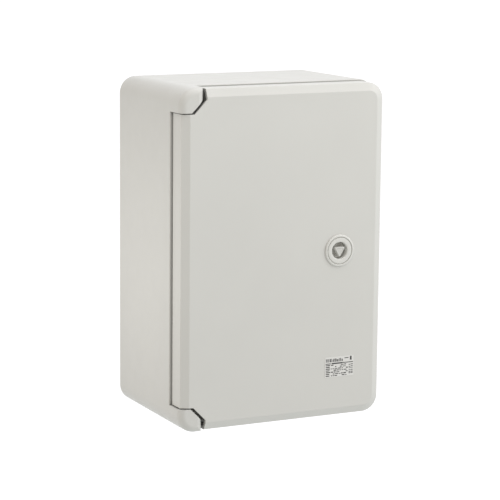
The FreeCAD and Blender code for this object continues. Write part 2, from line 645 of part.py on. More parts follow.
def terminal_screw(name, x, rail_z, half_tall, side, front):
    z = f"({rail_z} + {side} * {half_tall} - {side} * well_inset)"
    head = rod(f"{name}_head", "depth", (x, z), "well_radius - 0.3",
               (f"{front} - well_length", f"{front} - well_length + 4"))
    slot = block(f"{name}_slot", (f"{x} - well_radius", f"{x} + well_radius"),
                 (f"{front} - well_length + 3", f"{front} - well_length + 5"), (f"{z} - 0.4", f"{z} + 0.4"))
    return cut(f"{name}_cut", head, slot)


module_half = "(module_height / 2)"
clips = []


def fuse_x(index):
    return f"(fuse_left + {index + 0.5} * module_pitch)"


def make_fuse_base(index):
    name = f"fuse_base_{index + 1}"
    x = fuse_x(index)
    rail_z = upper_rail
    half = "(module_pitch / 2 - module_gap / 2)"
    sides = (f"{x} - {half}", f"{x} + {half}")
    blank = device_blank(name, sides, rail_z, module_half, shoulder)
    nose = block(f"{name}_nose", sides, (f"{shoulder} - 1", f"{shoulder} + nose_length"),
                 (f"{rail_z} - cavity_low - 1.5", f"{rail_z} + cavity_high + 1.5"))
    inner = f"({half} - cheek)"
    cavity = block(f"{name}_cavity", (f"{x} - {inner}", f"{x} + {inner}"),
                   (f"{device_back} + cavity_depth", f"{shoulder} + nose_length + 1"),
                   (f"{rail_z} - cavity_low", f"{rail_z} + cavity_high"))
    low_relief = block(f"{name}_low_relief", (f"{x} - {inner}", f"{x} + {inner}"),
                       (f"{shoulder}", f"{shoulder} + nose_length + 1"),
                       (f"{rail_z} - cavity_low - 3", f"{rail_z} - cavity_low + 1"))
    top_relief = block(f"{name}_top_relief", (f"{x} - {inner}", f"{x} + {inner}"),
                       (f"{shoulder}", f"{shoulder} + nose_length + 1"),
                       (f"{rail_z} + cavity_high - 1", f"{rail_z} + cavity_high + 3"))
    pivot = rod(f"{name}_pivot", "x", (f"{device_back} + pivot_depth", f"{rail_z} + pivot_z"),
                "pivot_radius + pin_clearance", (f"{sides[0]} - 1", f"{sides[1]} + 1"))
    tools = [cavity, low_relief, top_relief, pivot]
    for side, word in ((1, "top"), (-1, "low")):
        tools += terminal_tools(f"{name}_{word}", x, rail_z, module_half, side, shoulder)
    finger = "(finger_width / 2 + 1)"
    tools.append(block(f"{name}_comb_slot", (f"{x} - {finger}", f"{x} + {finger}"),
                       (f"{device_back} + comb_depth - 1.4", f"{device_back} + comb_depth + 1.4"),
                       (f"{rail_z} + {module_half} - entry_length", f"{rail_z} + {module_half} + 1")))
    publish(cut(f"{name}_cut", join(f"{name}_join", blank, nose), *tools), name)
    clips.append(rail_clip(name, x, rail_z, module_half))


def make_fuse_carrier(index):
    """The hinged handle that holds the fuse; it pivots near its lower end."""
    name = f"fuse_carrier_{index + 1}"
    x = fuse_x(index)
    body = body_of(f"{name}_block")
    outline = sketch_on(body, f"{name}_side", "YZ_Plane", "0")
    back, front = f"-({device_back} + carrier_back)", f"-({device_back} + carrier_front)"
    low, high = f"{upper_rail} - carrier_low", f"{upper_rail} + carrier_high"
    grip = f"({front} - 3)"
    draw_polygon(outline, [(back, low), (back, f"{high} - 3"), (f"{back} - carrier_relief", high),
                           (grip, high), (grip, f"{high} - 6"), (front, f"{high} - 12"), (front, low)])
    extrude(body, "Pad", outline, "module_pitch - module_gap - 2 * cheek - 2 * carrier_play", middle=True)
    place(body, x, "0", "0")
    half = "(module_pitch / 2 - module_gap / 2)"
    at = (f"{device_back} + pivot_depth", f"{upper_rail} + pivot_z")
    stub = rod(f"{name}_pivot", "x", at, "pivot_radius", (f"{x} - {half}", f"{x} + {half}"))
    fuse_at = (x, f"{device_back} + fuse_depth")
    room = "(fuse_radius + 0.1)"
    tall = (f"{upper_rail} - fuse_length / 2 - 0.3", f"{upper_rail} + fuse_length / 2 + 0.3")
    nest = rod(f"{name}_nest", "z", fuse_at, room, tall)
    mouth = block(f"{name}_mouth", (f"{x} - {room}", f"{x} + {room}"),
                  (f"{device_back} + carrier_back - 1", f"{device_back} + fuse_depth"), tall)
    publish(cut(f"{name}_cut", join(f"{name}_join", body, stub), nest, mouth), name)

    tube = rod(f"fuse_link_{index + 1}_tube", "z", fuse_at, "fuse_radius - 0.15",
               (f"{upper_rail} - fuse_length / 2 + 1", f"{upper_rail} + fuse_length / 2 - 1"))
    caps = [rod(f"fuse_link_{index + 1}_{word}_cap", "z", fuse_at, "fuse_radius",
                sorted((f"{upper_rail} + {side} * fuse_length / 2",
                        f"{upper_rail} + {side} * (fuse_length / 2 - fuse_cap)"), key=read))
            for side, word in ((1, "top"), (-1, "low"))]
    publish(join(f"fuse_link_{index + 1}_join", tube, *caps), f"fuse_link_{index + 1}")


def make_fuse_row():
    screws, contacts = [], []
    count = int(driving["fuse_count"])
    for index in range(count):
        make_fuse_base(index)
        make_fuse_carrier(index)
        x = fuse_x(index)
        for side, word in ((1, "top"), (-1, "low")):
            screws.append(terminal_screw(f"fuse_screw_{index + 1}_{word}", x, upper_rail, module_half,
                                         side, shoulder))
            z = f"({upper_rail} + {side} * (fuse_length / 2 - fuse_cap / 2))"
            contacts.append(block(f"fuse_contact_{index + 1}_{word}", (f"{x} - 4", f"{x} + 4"),
                                  (f"{device_back} + cavity_depth",
                                   f"{device_back} + cavity_depth + contact_thickness"),
                                  (f"{z} - 3.5", f"{z} + 3.5")))
    publish(gather("fuse_screw_set", screws), "fuse_terminal_screws")
    publish(gather("fuse_contact_set", contacts), "fuse_contacts")
    top = f"({upper_rail} + {module_half})"
    for first, sign in ((0, "negative"), (2, "positive")):
        name = f"busbar_{sign}"
        plane = (f"{device_back} + comb_depth - finger_thickness / 2",
                 f"{device_back} + comb_depth + finger_thickness / 2")
        parts = [block(f"{name}_bar", (f"{fuse_x(first)} - 5", f"{fuse_x(first + 1)} + 5"), plane,
                       (f"{top} + 1", f"{top} + 1 + comb_height"))]
        for index in (first, first + 1):
            parts.append(block(f"{name}_finger_{index}", (f"{fuse_x(index)} - finger_width / 2",
                                                         f"{fuse_x(index)} + finger_width / 2"),
                               plane, (f"{top} - entry_length", f"{top} + 2")))
        publish(join(f"{name}_join", *parts), name)


def breaker_x(pole):
    return f"(breaker_left + {pole + 0.5} * module_pitch)"


def make_breaker():
    rail_z = upper_rail
    width = "breaker_poles * module_pitch"
    sides = ("breaker_left + module_gap / 2", f"breaker_left + {width} - module_gap / 2")
    blank = device_blank("breaker", sides, rail_z, module_half, shoulder)
    nose = block("breaker_nose", sides, (f"{shoulder} - 1", f"{shoulder} + breaker_nose"),
                 (f"{rail_z} - cavity_low", f"{rail_z} + cavity_low"))
    middle = f"(breaker_left + {width} / 2)"
    at = (f"{device_back} + toggle_depth", rail_z)
    slot_half = "(toggle_width / 2 + 0.4)"
    drum_room = rod("toggle_room", "x", at, "toggle_radius + 0.4", (f"{middle} - {slot_half}",
                                                                   f"{middle} + {slot_half}"))
    bearing = rod("toggle_bearing", "x", at, "pivot_radius + pin_clearance",
                  (f"{middle} - toggle_width / 2 - 3", f"{middle} + toggle_width / 2 + 3"))
    swing = block("toggle_swing", (f"{middle} - {slot_half}", f"{middle} + {slot_half}"),
                  (f"{device_back} + toggle_depth - 4", f"{shoulder} + breaker_nose + 1"),
                  (f"{rail_z} - toggle_length", f"{rail_z} + toggle_length"))
    tools = [drum_room, bearing, swing]
    screws = []
    for pole in range(int(driving["breaker_poles"])):
        for side, word in ((1, "top"), (-1, "low")):
            tools += terminal_tools(f"breaker_{pole}_{word}", breaker_x(pole), rail_z,
                                    module_half, side, shoulder)
            screws.append(terminal_screw(f"breaker_screw_{pole}_{word}", breaker_x(pole), rail_z,
                                         module_half, side, shoulder))
        clips.append(rail_clip(f"breaker_{pole}", breaker_x(pole), rail_z, module_half))
    publish(cut("breaker_cut", join("breaker_join", blank, nose), *tools), "breaker_housing")
    publish(gather("breaker_screw_set", screws), "breaker_terminal_screws")

    drum = rod("toggle_drum", "x", at, "toggle_radius", (f"{middle} - toggle_width / 2",
                                                        f"{middle} + toggle_width / 2"))
    stub = rod("toggle_stub", "x", at, "pivot_radius", (f"{middle} - toggle_width / 2 - 2.5",
                                                       f"{middle} + toggle_width / 2 + 2.5"))
    lever = doc.addObject("Part::Box", "toggle_lever")
    bind(lever, "Length", "toggle_width - 2")
    bind(lever, "Width", "toggle_length + 2")
    bind(lever, "Height", "toggle_thickness")
    lever.Placement = Placement(Vector(), Rotation(Vector(1, 0, 0), 40))
    reach = "(toggle_length + 2)"
    down = math.radians(40)
    place(lever, f"{middle} - toggle_width / 2 + 1",
          f"{at[0]} + {reach} * {math.cos(down):.6f} - toggle_thickness / 2 * {math.sin(down):.6f}",
          f"{rail_z} - {reach} * {math.sin(down):.6f} - toggle_thickness / 2 * {math.cos(down):.6f}")
    publish(join("toggle_join", drum, stub, lever), "breaker_toggle")


def surge_x(way):
    return f"(surge_left + {way + 0.5} * module_pitch)"


def make_surge_protector():
    rail_z = lower_rail
    ways = int(driving["surge_ways"])
    sides = ("surge_left + module_gap / 2", "surge_left + surge_ways * module_pitch - module_gap / 2")
    blank = device_blank("surge", sides, rail_z, module_half, shoulder)
    bay = block("surge_bay", (f"{sides[0]} + cheek", f"{sides[1]} - cheek"),
                (f"{device_back} + surge_floor", f"{shoulder} + 1"),
                (f"{rail_z} - cartridge_height / 2 - cartridge_play",
                 f"{rail_z} + cartridge_height / 2 + cartridge_play"))
    tools, screws = [bay], []
    for way in range(ways):
        x = surge_x(way)
        for side, word in ((1, "top"), (-1, "low")):
            tools += terminal_tools(f"surge_{way}_{word}", x, rail_z, module_half, side, shoulder)
            screws.append(terminal_screw(f"surge_screw_{way}_{word}", x, rail_z, module_half, side,
                                         shoulder))
        left = "(surge_left + module_gap / 2 + cheek + cartridge_play)" if way == 0 \
            else f"({x} - module_pitch / 2 + cartridge_play / 2)"
        right = f"({sides[1]} - cheek - cartridge_play)" if way == ways - 1 \
            else f"({x} + module_pitch / 2 - cartridge_play / 2)"
        shell = block(f"cartridge_{way}_shell", (left, right),
                      (f"{device_back} + surge_floor", f"{device_back} + cartridge_front"),
                      (f"{rail_z} - cartridge_height / 2", f"{rail_z} + cartridge_height / 2"))
        window = block(f"cartridge_{way}_window", (f"{x} - 3", f"{x} + 3"),
                       (f"{device_back} + cartridge_front - 1", f"{device_back} + cartridge_front + 1"),
                       (f"{rail_z} + 6", f"{rail_z} + 11"))
        grips = [block(f"cartridge_{way}_grip_{word}", (f"{left} - 1", f"{right} + 1"),
                       (f"{device_back} + cartridge_front - 12", f"{device_back} + cartridge_front - 8"),
                       sorted((f"{rail_z} + {side} * (cartridge_height / 2 + 1)",
                               f"{rail_z} + {side} * (cartridge_height / 2 - 2)"), key=read))
                 for side, word in ((1, "top"), (-1, "low"))]
        publish(cut(f"cartridge_{way}_cut", shell, window, *grips), f"surge_cartridge_{way + 1}")
        clips.append(rail_clip(f"surge_{way}", x, rail_z, module_half))
    publish(cut("surge_cut", blank, *tools), "surge_base")
    publish(gather("surge_screw_set", screws), "surge_terminal_screws")


def terminal_x(index):
    return f"(terminal_left + {index + 0.5} * terminal_width)"


def make_terminals():
    rail_z = lower_rail
    half_tall = "(terminal_height / 2)"
    front = f"({device_back} + terminal_body)"
    screws = []
    for index, word in enumerate(("negative", "earth", "positive")):
        x = terminal_x(index)
        sides = (f"{x} - terminal_width / 2 + module_gap / 2", f"{x} + terminal_width / 2 - module_gap / 2")
        blank = device_blank(f"terminal_{word}", sides, rail_z, half_tall, front)
        tools = []
        for side, end in ((1, "top"), (-1, "low")):
            tools += terminal_tools(f"terminal_{word}_{end}", x, rail_z, half_tall, side, front)
            screws.append(terminal_screw(f"terminal_screw_{word}_{end}", x, rail_z, half_tall, side, front))
        spare = rod(f"terminal_{word}_spare", "z", (x, f"{entry} - spare_entry"), "entry_radius",
                    (f"{rail_z} - {half_tall} - 1", f"{rail_z} - {half_tall} + entry_length"))
        marker = block(f"terminal_{word}_marker", (f"{x} - 3", f"{x} + 3"),
                       (f"{front} - 1.2", f"{front} + 1"), (f"{rail_z} - 4", f"{rail_z} + 4"))
        publish(cut(f"terminal_{word}_cut", blank, *tools, spare, marker), f"terminal_{word}")
        clips.append(rail_clip(f"terminal_{word}", x, rail_z, half_tall))
    publish(gather("terminal_screw_set", screws), "terminal_screws")


def make_end_stops():
    stops = []
    places = (("upper_left", "fuse_left - stop_width - 1", upper_rail),
              ("upper_right", "breaker_left + breaker_poles * module_pitch + 1", upper_rail),
              ("lower_left", "surge_left - stop_width - 1", lower_rail),
              ("lower_right", "terminal_left + 3 * terminal_width + 1", lower_rail))
    for name, left, rail_z in places:
        sides = (f"({left})", f"({left} + stop_width)")
        blank = device_blank(f"stop_{name}", sides, rail_z, "(terminal_height / 2 - 4)",
                             f"({rail_face} + 18)")
        well = rod(f"stop_{name}_well", "depth", (f"{sides[0]} + stop_width / 2", rail_z), "well_radius",
                   (f"{rail_face} + 10", f"{rail_face} + 19"))
        stops.append(cut(f"stop_{name}_cut", blank, well))
    publish(gather("stop_set", stops), "end_stops")


# ---------------------------------------------------------------- cable glands
def make_glands():
    bodies, nuts, caps, seals, washers = [], [], [], [], []
    low = f"-{half_height}"
    seat = f"({low} + wall + 1)"
    for i in range(int(driving["gland_count"])):
        at = (gland_x(i), "gland_depth")
        under = f"({low} - gland_washer)"
        collar = f"({under} - gland_flange)"
        hexed = hexagon(f"gland_hex_{i}", "z", at, "gland_hex", (collar, under))
        thread = rod(f"gland_thread_{i}", "z", at, "gland_thread",
                     (f"{collar} - 6", f"{seat} + gland_locknut + 1.5"))
        bore = rod(f"gland_bore_{i}", "z", at, "gland_bore",
                   (f"{collar} - 7", f"{seat} + gland_locknut + 3"))
        bodies.append(cut(f"gland_body_{i}", join(f"gland_blank_{i}", hexed, thread), bore))
        washer = rod(f"gland_washer_{i}", "z", at, "gland_hex / 2 - 0.2", (under, low))
        washer_hole = rod(f"gland_washer_hole_{i}", "z", at, "gland_thread + fit_gap",
                          (f"{under} - 1", f"{low} + 1"))
        washers.append(cut(f"gland_washer_cut_{i}", washer, washer_hole))
        nut = hexagon(f"gland_nut_{i}", "z", at, "gland_hex + 2", (seat, f"{seat} + gland_locknut"))
        nut_hole = rod(f"gland_nut_hole_{i}", "z", at, "gland_thread + fit_gap",
                       (f"{seat} - 1", f"{seat} + gland_locknut + 1"))
        nuts.append(cut(f"gland_nut_cut_{i}", nut, nut_hole))
        end = f"({collar} - gland_cap)"
        grip = hexagon(f"gland_grip_{i}", "z", at, "gland_hex - 1", (f"{collar} - gland_cap + 4", collar))
        dome = cone(f"gland_dome_{i}", "z", at, ("gland_hex / 2 - 3", "gland_hex / 2 - 0.5"),
                    (end, f"{end} + 4"))
        inside = rod(f"gland_cap_inside_{i}", "z", at, "gland_thread + fit_gap",
                     (f"{end} + 3", f"{collar} + 1"))
        mouth = rod(f"gland_mouth_{i}", "z", at, "gland_seal_bore + 1", (f"{end} - 1", f"{collar} + 1"))
        caps.append(cut(f"gland_cap_cut_{i}", join(f"gland_cap_blank_{i}", grip, dome), inside, mouth))
        seal = rod(f"gland_seal_{i}", "z", at, "gland_thread - 0.2", (f"{end} + 3", f"{collar} - 6"))
        seal_neck = rod(f"gland_seal_neck_{i}", "z", at, "gland_bore - fit_gap",
                        (f"{collar} - 6.5", f"{collar} + 2"))
        seal_hole = rod(f"gland_seal_hole_{i}", "z", at, "gland_seal_bore", (f"{end} + 2", f"{collar} + 3"))
        seals.append(cut(f"gland_seal_cut_{i}", join(f"gland_seal_blank_{i}", seal, seal_neck), seal_hole))
    for label, solids in (("gland_bodies", bodies), ("gland_locknuts", nuts), ("gland_cap_nuts", caps),
                          ("gland_seals", seals), ("gland_washers", washers)):
        publish(gather(f"{label}_set", solids), label)


# ---------------------------------------------------------------- internal leads
def make_lead(label, route):
    """A round lead: straight runs joined by tangent arcs through a list of x, depth, z points."""
    points = [Vector(x, -depth, z) for x, depth, z in route]
    radius = read("lead_radius")
    edges = []
    start = points[0]
    tightest = None
    for before, corner, after in zip(points, points[1:], points[2:]):
        a, b = before - corner, after - corner
        shorter = min(a.Length, b.Length)
        a.normalize()
        b.normalize()
        turn = math.pi - a.getAngle(b)
        reach = 0.45 * shorter
        bend = reach / math.tan(turn / 2)
        tightest = bend if tightest is None else min(tightest, bend)
        entering, leaving = corner + a * reach, corner + b * reach
        inward = (a + b).normalize()
        middle = corner + inward * (bend / math.cos(turn / 2) - bend)
        edges.append(Part.LineSegment(start, entering).toShape())
        edges.append(Part.Arc(entering, middle, leaving).toShape())
        start = leaving
    edges.append(Part.LineSegment(start, points[-1]).toShape())
    spine = Part.Wire(edges)
    heading = (points[1] - points[0]).normalize()
    ring = Part.Wire(Part.makeCircle(radius, points[0], heading))
    pipe = spine.makePipeShell([ring], True, False)
    expected = math.pi * radius ** 2 * spine.Length
    print(f"{label}: length {spine.Length:.1f}, tightest bend {tightest:.1f}, "
          f"volume ratio {pipe.Volume / expected:.4f}")
    lead = doc.addObject("Part::Feature", label)
    lead.Shape = pipe
    lead.Placement = Placement()
    publish(lead, label)


def make_leads():
    d = read(entry)
    top = read(f"{upper_rail} + {module_half}")
    low = read(f"{upper_rail} - {module_half}")
    surge_low = read(f"{lower_rail} - {module_half}")
    block_top = read(f"{lower_rail} + terminal_height / 2")
    block_low = read(f"{lower_rail} - terminal_height / 2")
    depth_in = read("entry_length")
    fuse_2, fuse_4 = read(fuse_x(1)), read(fuse_x(3))
    pole_1, pole_2 = read(breaker_x(0)), read(breaker_x(1))
    minus, earth, plus = (read(terminal_x(i)) for i in range(3))
    surge = [read(surge_x(i)) for i in range(3)]
    inside = top - depth_in
    make_lead("lead_negative_feed", [
        (fuse_2, d, inside), (fuse_2, d, top + 7), (fuse_2 + 9, d + 2, top + 16),
        (fuse_2 + 30, d + 5, top + 19.5), (pole_1 - 10, d + 2.5, top + 16.5), (pole_1, d, top + 7),
        (pole_1, d, inside)])
    make_lead("lead_positive_feed", [
        (fuse_4, d, inside), (fuse_4, d, top + 7), (fuse_4 + 8, d - 3, top + 16),
        (fuse_4 + 21, d - 6, top + 18), (pole_2 - 8, d - 3, top + 16), (pole_2, d, top + 7),
        (pole_2, d, inside)])
    end = block_top - depth_in
    drop = (low - block_top) / 70
    make_lead("lead_negative_out", [
        (pole_1, d, low + depth_in), (pole_1, d, low - 12 * drop), (pole_1 - 3, d + 3, low - 30 * drop),
        (minus + 3, d + 3, block_top + 28 * drop), (minus, d, block_top + 12 * drop), (minus, d, end)])
    make_lead("lead_positive_out", [
        (pole_2, d, low + depth_in), (pole_2, d, low - 12 * drop), (pole_2 - 3, d + 2, low - 30 * drop),
        (plus + 3, d + 2, block_top + 28 * drop), (plus, d, block_top + 12 * drop), (plus, d, end)])
    start, finish = surge_low + depth_in, block_low + depth_in
    make_lead("lead_surge_negative", [
        (surge[2], d, start), (surge[2], d, surge_low - 3), (surge[2] + 8, d + 1, surge_low - 15),
        (minus - 8, d + 1, surge_low - 15), (minus, d, surge_low - 3), (minus, d, finish)])
    make_lead("lead_surge_earth", [
        (surge[1], d, start), (surge[1], d, surge_low - 5), (surge[1] + 9, d + 2, surge_low - 17),
        (surge[1] + 29, d + 3, surge_low - 22), (earth - 9, d + 2, surge_low - 17),
        (earth, d, surge_low - 5), (earth, d, finish)])
    make_lead("lead_surge_positive", [
        (surge[0], d, start), (surge[0], d, surge_low - 8), (surge[0] + 9, d + 3, surge_low - 21),
        (surge[0] + 29, d + 6, surge_low - 28.5), (surge[0] + 51, d + 7, surge_low - 30),
        (surge[0] + 70, d + 5, surge_low - 26), (plus - 5, d + 2, surge_low - 15),
        (plus, d, surge_low - 1), (plus, d, finish)])


# ---------------------------------------------------------------- build and export
make_case_shell()
make_hinge_pins()
make_door_panel()
make_gasket()
make_lock()
make_label()
make_plate()
make_rail("upper", upper_rail)
make_rail("lower", lower_rail)
make_rail_screws()
make_fuse_row()
make_breaker()
make_surge_protector()
make_terminals()
make_end_stops()
publish(gather("clip_set", clips), "rail_clips")
make_glands()
make_leads()
doc.recompute()

for thing in doc.Objects:
    if "Invalid" in thing.State or "Error" in thing.State:
        raise RuntimeError(f"{thing.Name} failed: {thing.State}")
for node in nodes:
    if node.Shape.isNull() or not node.Shape.isValid():
        raise RuntimeError(f"{node.Label} is not a valid shape")
for node in nodes:
    node.Shape.exportStep(f"parts/{node.Label}.step")
print(len(nodes), "sub-parts written")
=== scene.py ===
import json
import math
import random

import bmesh
import bpy
from mathutils import Matrix, Vector


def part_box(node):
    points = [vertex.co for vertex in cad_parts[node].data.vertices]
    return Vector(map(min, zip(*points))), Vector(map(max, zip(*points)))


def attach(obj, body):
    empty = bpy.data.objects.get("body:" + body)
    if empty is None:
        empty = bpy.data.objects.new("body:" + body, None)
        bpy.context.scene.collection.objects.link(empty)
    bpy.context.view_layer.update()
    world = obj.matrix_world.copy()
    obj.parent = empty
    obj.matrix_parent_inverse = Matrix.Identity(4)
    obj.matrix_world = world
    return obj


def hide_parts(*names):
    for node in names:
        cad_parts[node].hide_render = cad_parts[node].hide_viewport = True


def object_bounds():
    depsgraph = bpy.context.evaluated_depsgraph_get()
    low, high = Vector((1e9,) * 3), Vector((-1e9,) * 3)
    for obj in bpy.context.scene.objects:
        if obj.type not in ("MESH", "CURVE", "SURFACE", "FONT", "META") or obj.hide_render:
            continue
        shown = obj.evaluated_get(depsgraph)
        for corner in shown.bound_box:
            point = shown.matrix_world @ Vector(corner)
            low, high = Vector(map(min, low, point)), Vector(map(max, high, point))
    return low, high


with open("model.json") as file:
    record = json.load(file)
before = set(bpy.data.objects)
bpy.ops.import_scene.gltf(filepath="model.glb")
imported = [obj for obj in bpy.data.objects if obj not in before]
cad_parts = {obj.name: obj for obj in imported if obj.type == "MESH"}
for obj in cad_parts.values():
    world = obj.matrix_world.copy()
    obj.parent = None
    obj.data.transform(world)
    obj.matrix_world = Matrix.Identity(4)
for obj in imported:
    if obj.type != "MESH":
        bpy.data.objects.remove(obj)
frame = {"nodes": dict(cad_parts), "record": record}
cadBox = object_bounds()
scene = bpy.context.scene
print("frame loaded:", len(frame["nodes"]), "nodes")

mm = 0.001


# Camera: standing left of the box and a little above it, with a long lens
camera = {
    "azimuth": -26.725,  # degrees, negative is to the left of the door
    "elevation": 9.898,
    "roll": 0.559,
    "distance": 1.92305,
    "lens": 153.494, "sensor": 36,
    "near": 0.05, "far": 50,
    "aim": (0, -0.065, 0),
    "slide": (0.001728, -0.00584),  # sideways and up, in the camera's own directions
}


def makeCamera(p):
    azimuth, elevation, roll = (math.radians(p[key]) for key in ("azimuth", "elevation", "roll"))
    back = Vector((math.sin(azimuth) * math.cos(elevation),
                   -math.cos(azimuth) * math.cos(elevation), math.sin(elevation)))
    level = Vector((0, 0, 1)).cross(back).normalized()
    upright = back.cross(level)
    right = level * math.cos(roll) + upright * math.sin(roll)
    up = upright * math.cos(roll) - level * math.sin(roll)
    place = Vector(p["aim"]) + right * p["slide"][0] + up * p["slide"][1] + back * p["distance"]
    data = bpy.data.cameras.new("camera")
    data.lens = p["lens"]
    data.sensor_width = p["sensor"]
    data.clip_start = p["near"]
    data.clip_end = p["far"]
    shot = bpy.data.objects.new("camera", data)
    turn = Matrix((right, up, back)).transposed().to_4x4()
    shot.matrix_world = Matrix.Translation(place) @ turn
    scene.collection.objects.link(shot)
    scene.camera = shot


makeCamera(camera)
print("camera placed")


# Light: a white sweep behind, a dim warm room in front, soft boxes left, right and above,
# and a small box at the upper left in front, which the lock's lip catches
studio = {
    "room": (0.79, 0.79, 0.79),
    "zones": {  # where it lies, its colour, and the cosines between which it fades in
        "sweep": ((0.30, 0.94, -0.12), (1.08, 1.08, 1.08), (0.55, 0.88)),
        "ceiling": ((0.0, 0.0, 1.0), (0.98, 1.0, 1.06), (0.25, 0.85)),
        "leftWall": ((-1.0, -0.10, 0.45), (0.355, 0.30, 0.245), (0.35, 0.95)),
        "dimCorner": ((-0.443, -0.88, 0.10), (0.52, 0.475, 0.42), (0.60, 0.97)),
        "ground": ((0.0, -0.25, -1.0), (1.04, 1.08, 1.09), (0.25, 0.85)),
    },
    "boxes": {  # place, width and height, watts
        "topBox": ((-0.05, -0.30, 1.25), (1.3, 1.1), 6.5),
        "leftBox": ((-0.34, -0.05, -0.02), (0.13, 0.13), 0.265),
        "rightBox": ((0.95, -0.72, 0.45), (0.7, 1.0), 5.3),
        "keyBox": ((-0.66, -0.93, 0.92), (0.18, 0.18), 2.4),
    },
    "aim": (0, -0.06, 0),
    "floorDrop": 0.55, "floorSize": 60.0, "floorGlow": 0.35, "floorTone": (0.9, 0.9, 0.9),
}


def makeStudio(p):
    world = bpy.data.worlds.new("room")
    world.use_nodes = True
    tree = world.node_tree
    shell = tree.nodes["Background"]
    place = tree.nodes.new("ShaderNodeTexCoord")
    colour = None
    for name, (heading, tint, fade) in p["zones"].items():
        lean = tree.nodes.new("ShaderNodeVectorMath")
        lean.operation = "DOT_PRODUCT"
        lean.inputs[1].default_value = Vector(heading).normalized()
        tree.links.new(place.outputs["Generated"], lean.inputs[0])
        share = tree.nodes.new("ShaderNodeMapRange")
        share.interpolation_type = "SMOOTHSTEP"
        share.inputs["From Min"].default_value, share.inputs["From Max"].default_value = fade
        tree.links.new(lean.outputs["Value"], share.inputs["Value"])
        mix = tree.nodes.new("ShaderNodeMix")
        mix.data_type = "RGBA"
        mix.inputs["A"].default_value = (*p["room"], 1)
        mix.inputs["B"].default_value = (*tint, 1)
        tree.links.new(share.outputs["Result"], mix.inputs["Factor"])
        if colour:
            tree.links.new(colour, mix.inputs["A"])
        colour = mix.outputs["Result"]
    tree.links.new(colour, shell.inputs["Color"])
    scene.world = world
    for name, (place, size, watts) in p["boxes"].items():
        light = bpy.data.lights.new(name, "AREA")
        light.shape = "RECTANGLE"
        light.size, light.size_y = size
        light.energy = watts
        lamp = bpy.data.objects.new(name, light)
        lamp.location = place
        heading = Vector(p["aim"]) - lamp.location
        lamp.rotation_euler = heading.to_track_quat("-Z", "Y").to_euler()
        lamp.visible_camera = False
        scene.collection.objects.link(lamp)
    scene.view_settings.view_transform = "Standard"
    scene.view_settings.look = "None"


makeStudio(studio)
print("lights set")


# What the finishes share; scales are per metre and depths are in metres
surface = {
    "noiseRoughness": 0.55,
    "spread": (0.3, 0.7),  # the part of a noise's range that is used
    "edgeSamples": 6, "smallEdge": 0.0004,
    "paintedShadeSamples": 8, "paintedGapShade": 0.35,
    "swirl": 14, "rub": 84, "rubGloss": (0.05, 0.07), "grainStrength": 0.6,
    "fineGrain": 1500,
    "cloud": 40, "spangleSpread": (0.1, 0.9), "plateShades": (0.86, 1.08),
    "plateGloss": (0.07, 0.1),
    "lines": (60, 60, 900), "lineScale": 10, "lineDepth": 0.00004, "lineStrength": 0.4,
}


def nodeMaterial(name):
    material = bpy.data.materials.new(name)
    material.use_nodes = True
    tree = material.node_tree
    return material, tree, tree.nodes["Principled BSDF"]


def addNoise(tree, place, scale, detail):
    noise = tree.nodes.new("ShaderNodeTexNoise")
    noise.inputs["Scale"].default_value = scale
    noise.inputs["Detail"].default_value = detail
    noise.inputs["Roughness"].default_value = surface["noiseRoughness"]
    tree.links.new(place.outputs["Object"], noise.inputs["Vector"])
    return noise


def addRange(tree, source, low, high, spread=surface["spread"]):
    scaled = tree.nodes.new("ShaderNodeMapRange")
    scaled.inputs["From Min"].default_value, scaled.inputs["From Max"].default_value = spread
    scaled.inputs["To Min"].default_value = low
    scaled.inputs["To Max"].default_value = high
    tree.links.new(source, scaled.inputs["Value"])
    return scaled


def addBump(tree, shader, source, distance, strength, before=None):
    bump = tree.nodes.new("ShaderNodeBump")
    bump.inputs["Strength"].default_value = strength
    bump.inputs["Distance"].default_value = distance
    tree.links.new(source, bump.inputs["Height"])
    if before:
        tree.links.new(before.outputs["Normal"], bump.inputs["Normal"])
    tree.links.new(bump.outputs["Normal"], shader.inputs["Normal"])


# Edges read as slightly rounded where the light catches them
def addSoftEdge(tree, radius):
    edge = tree.nodes.new("ShaderNodeBevel")
    edge.samples = surface["edgeSamples"]
    edge.inputs["Radius"].default_value = radius
    return edge


def addTint(tree, shader, source, dark, light):
    mix = tree.nodes.new("ShaderNodeMix")
    mix.data_type = "RGBA"
    mix.inputs["A"].default_value = (*dark, 1)
    mix.inputs["B"].default_value = (*light, 1)
    tree.links.new(source, mix.inputs["Factor"])
    tree.links.new(mix.outputs["Result"], shader.inputs["Base Color"])
    return mix


def shade(colour, factor):
    return tuple(min(1.0, channel * factor) for channel in colour)


# Painted shade: narrow gaps between pieces get a darker base colour with their depth, found by an
# occlusion node, standing in for the shade that falls in them
def addPaintedGapShade(tree, shader, tint, reach, dark):
    gap = tree.nodes.new("ShaderNodeAmbientOcclusion")
    gap.samples = surface["paintedShadeSamples"]
    gap.inputs["Distance"].default_value = reach
    depth = addRange(tree, gap.outputs["AO"], 1, 0)
    mix = tree.nodes.new("ShaderNodeMix")
    mix.data_type = "RGBA"
    mix.inputs["B"].default_value = (*dark, 1)
    tree.links.new(depth.outputs["Result"], mix.inputs["Factor"])
    tree.links.new(tint.outputs["Result"], mix.inputs["A"])
    tree.links.new(mix.outputs["Result"], shader.inputs["Base Color"])
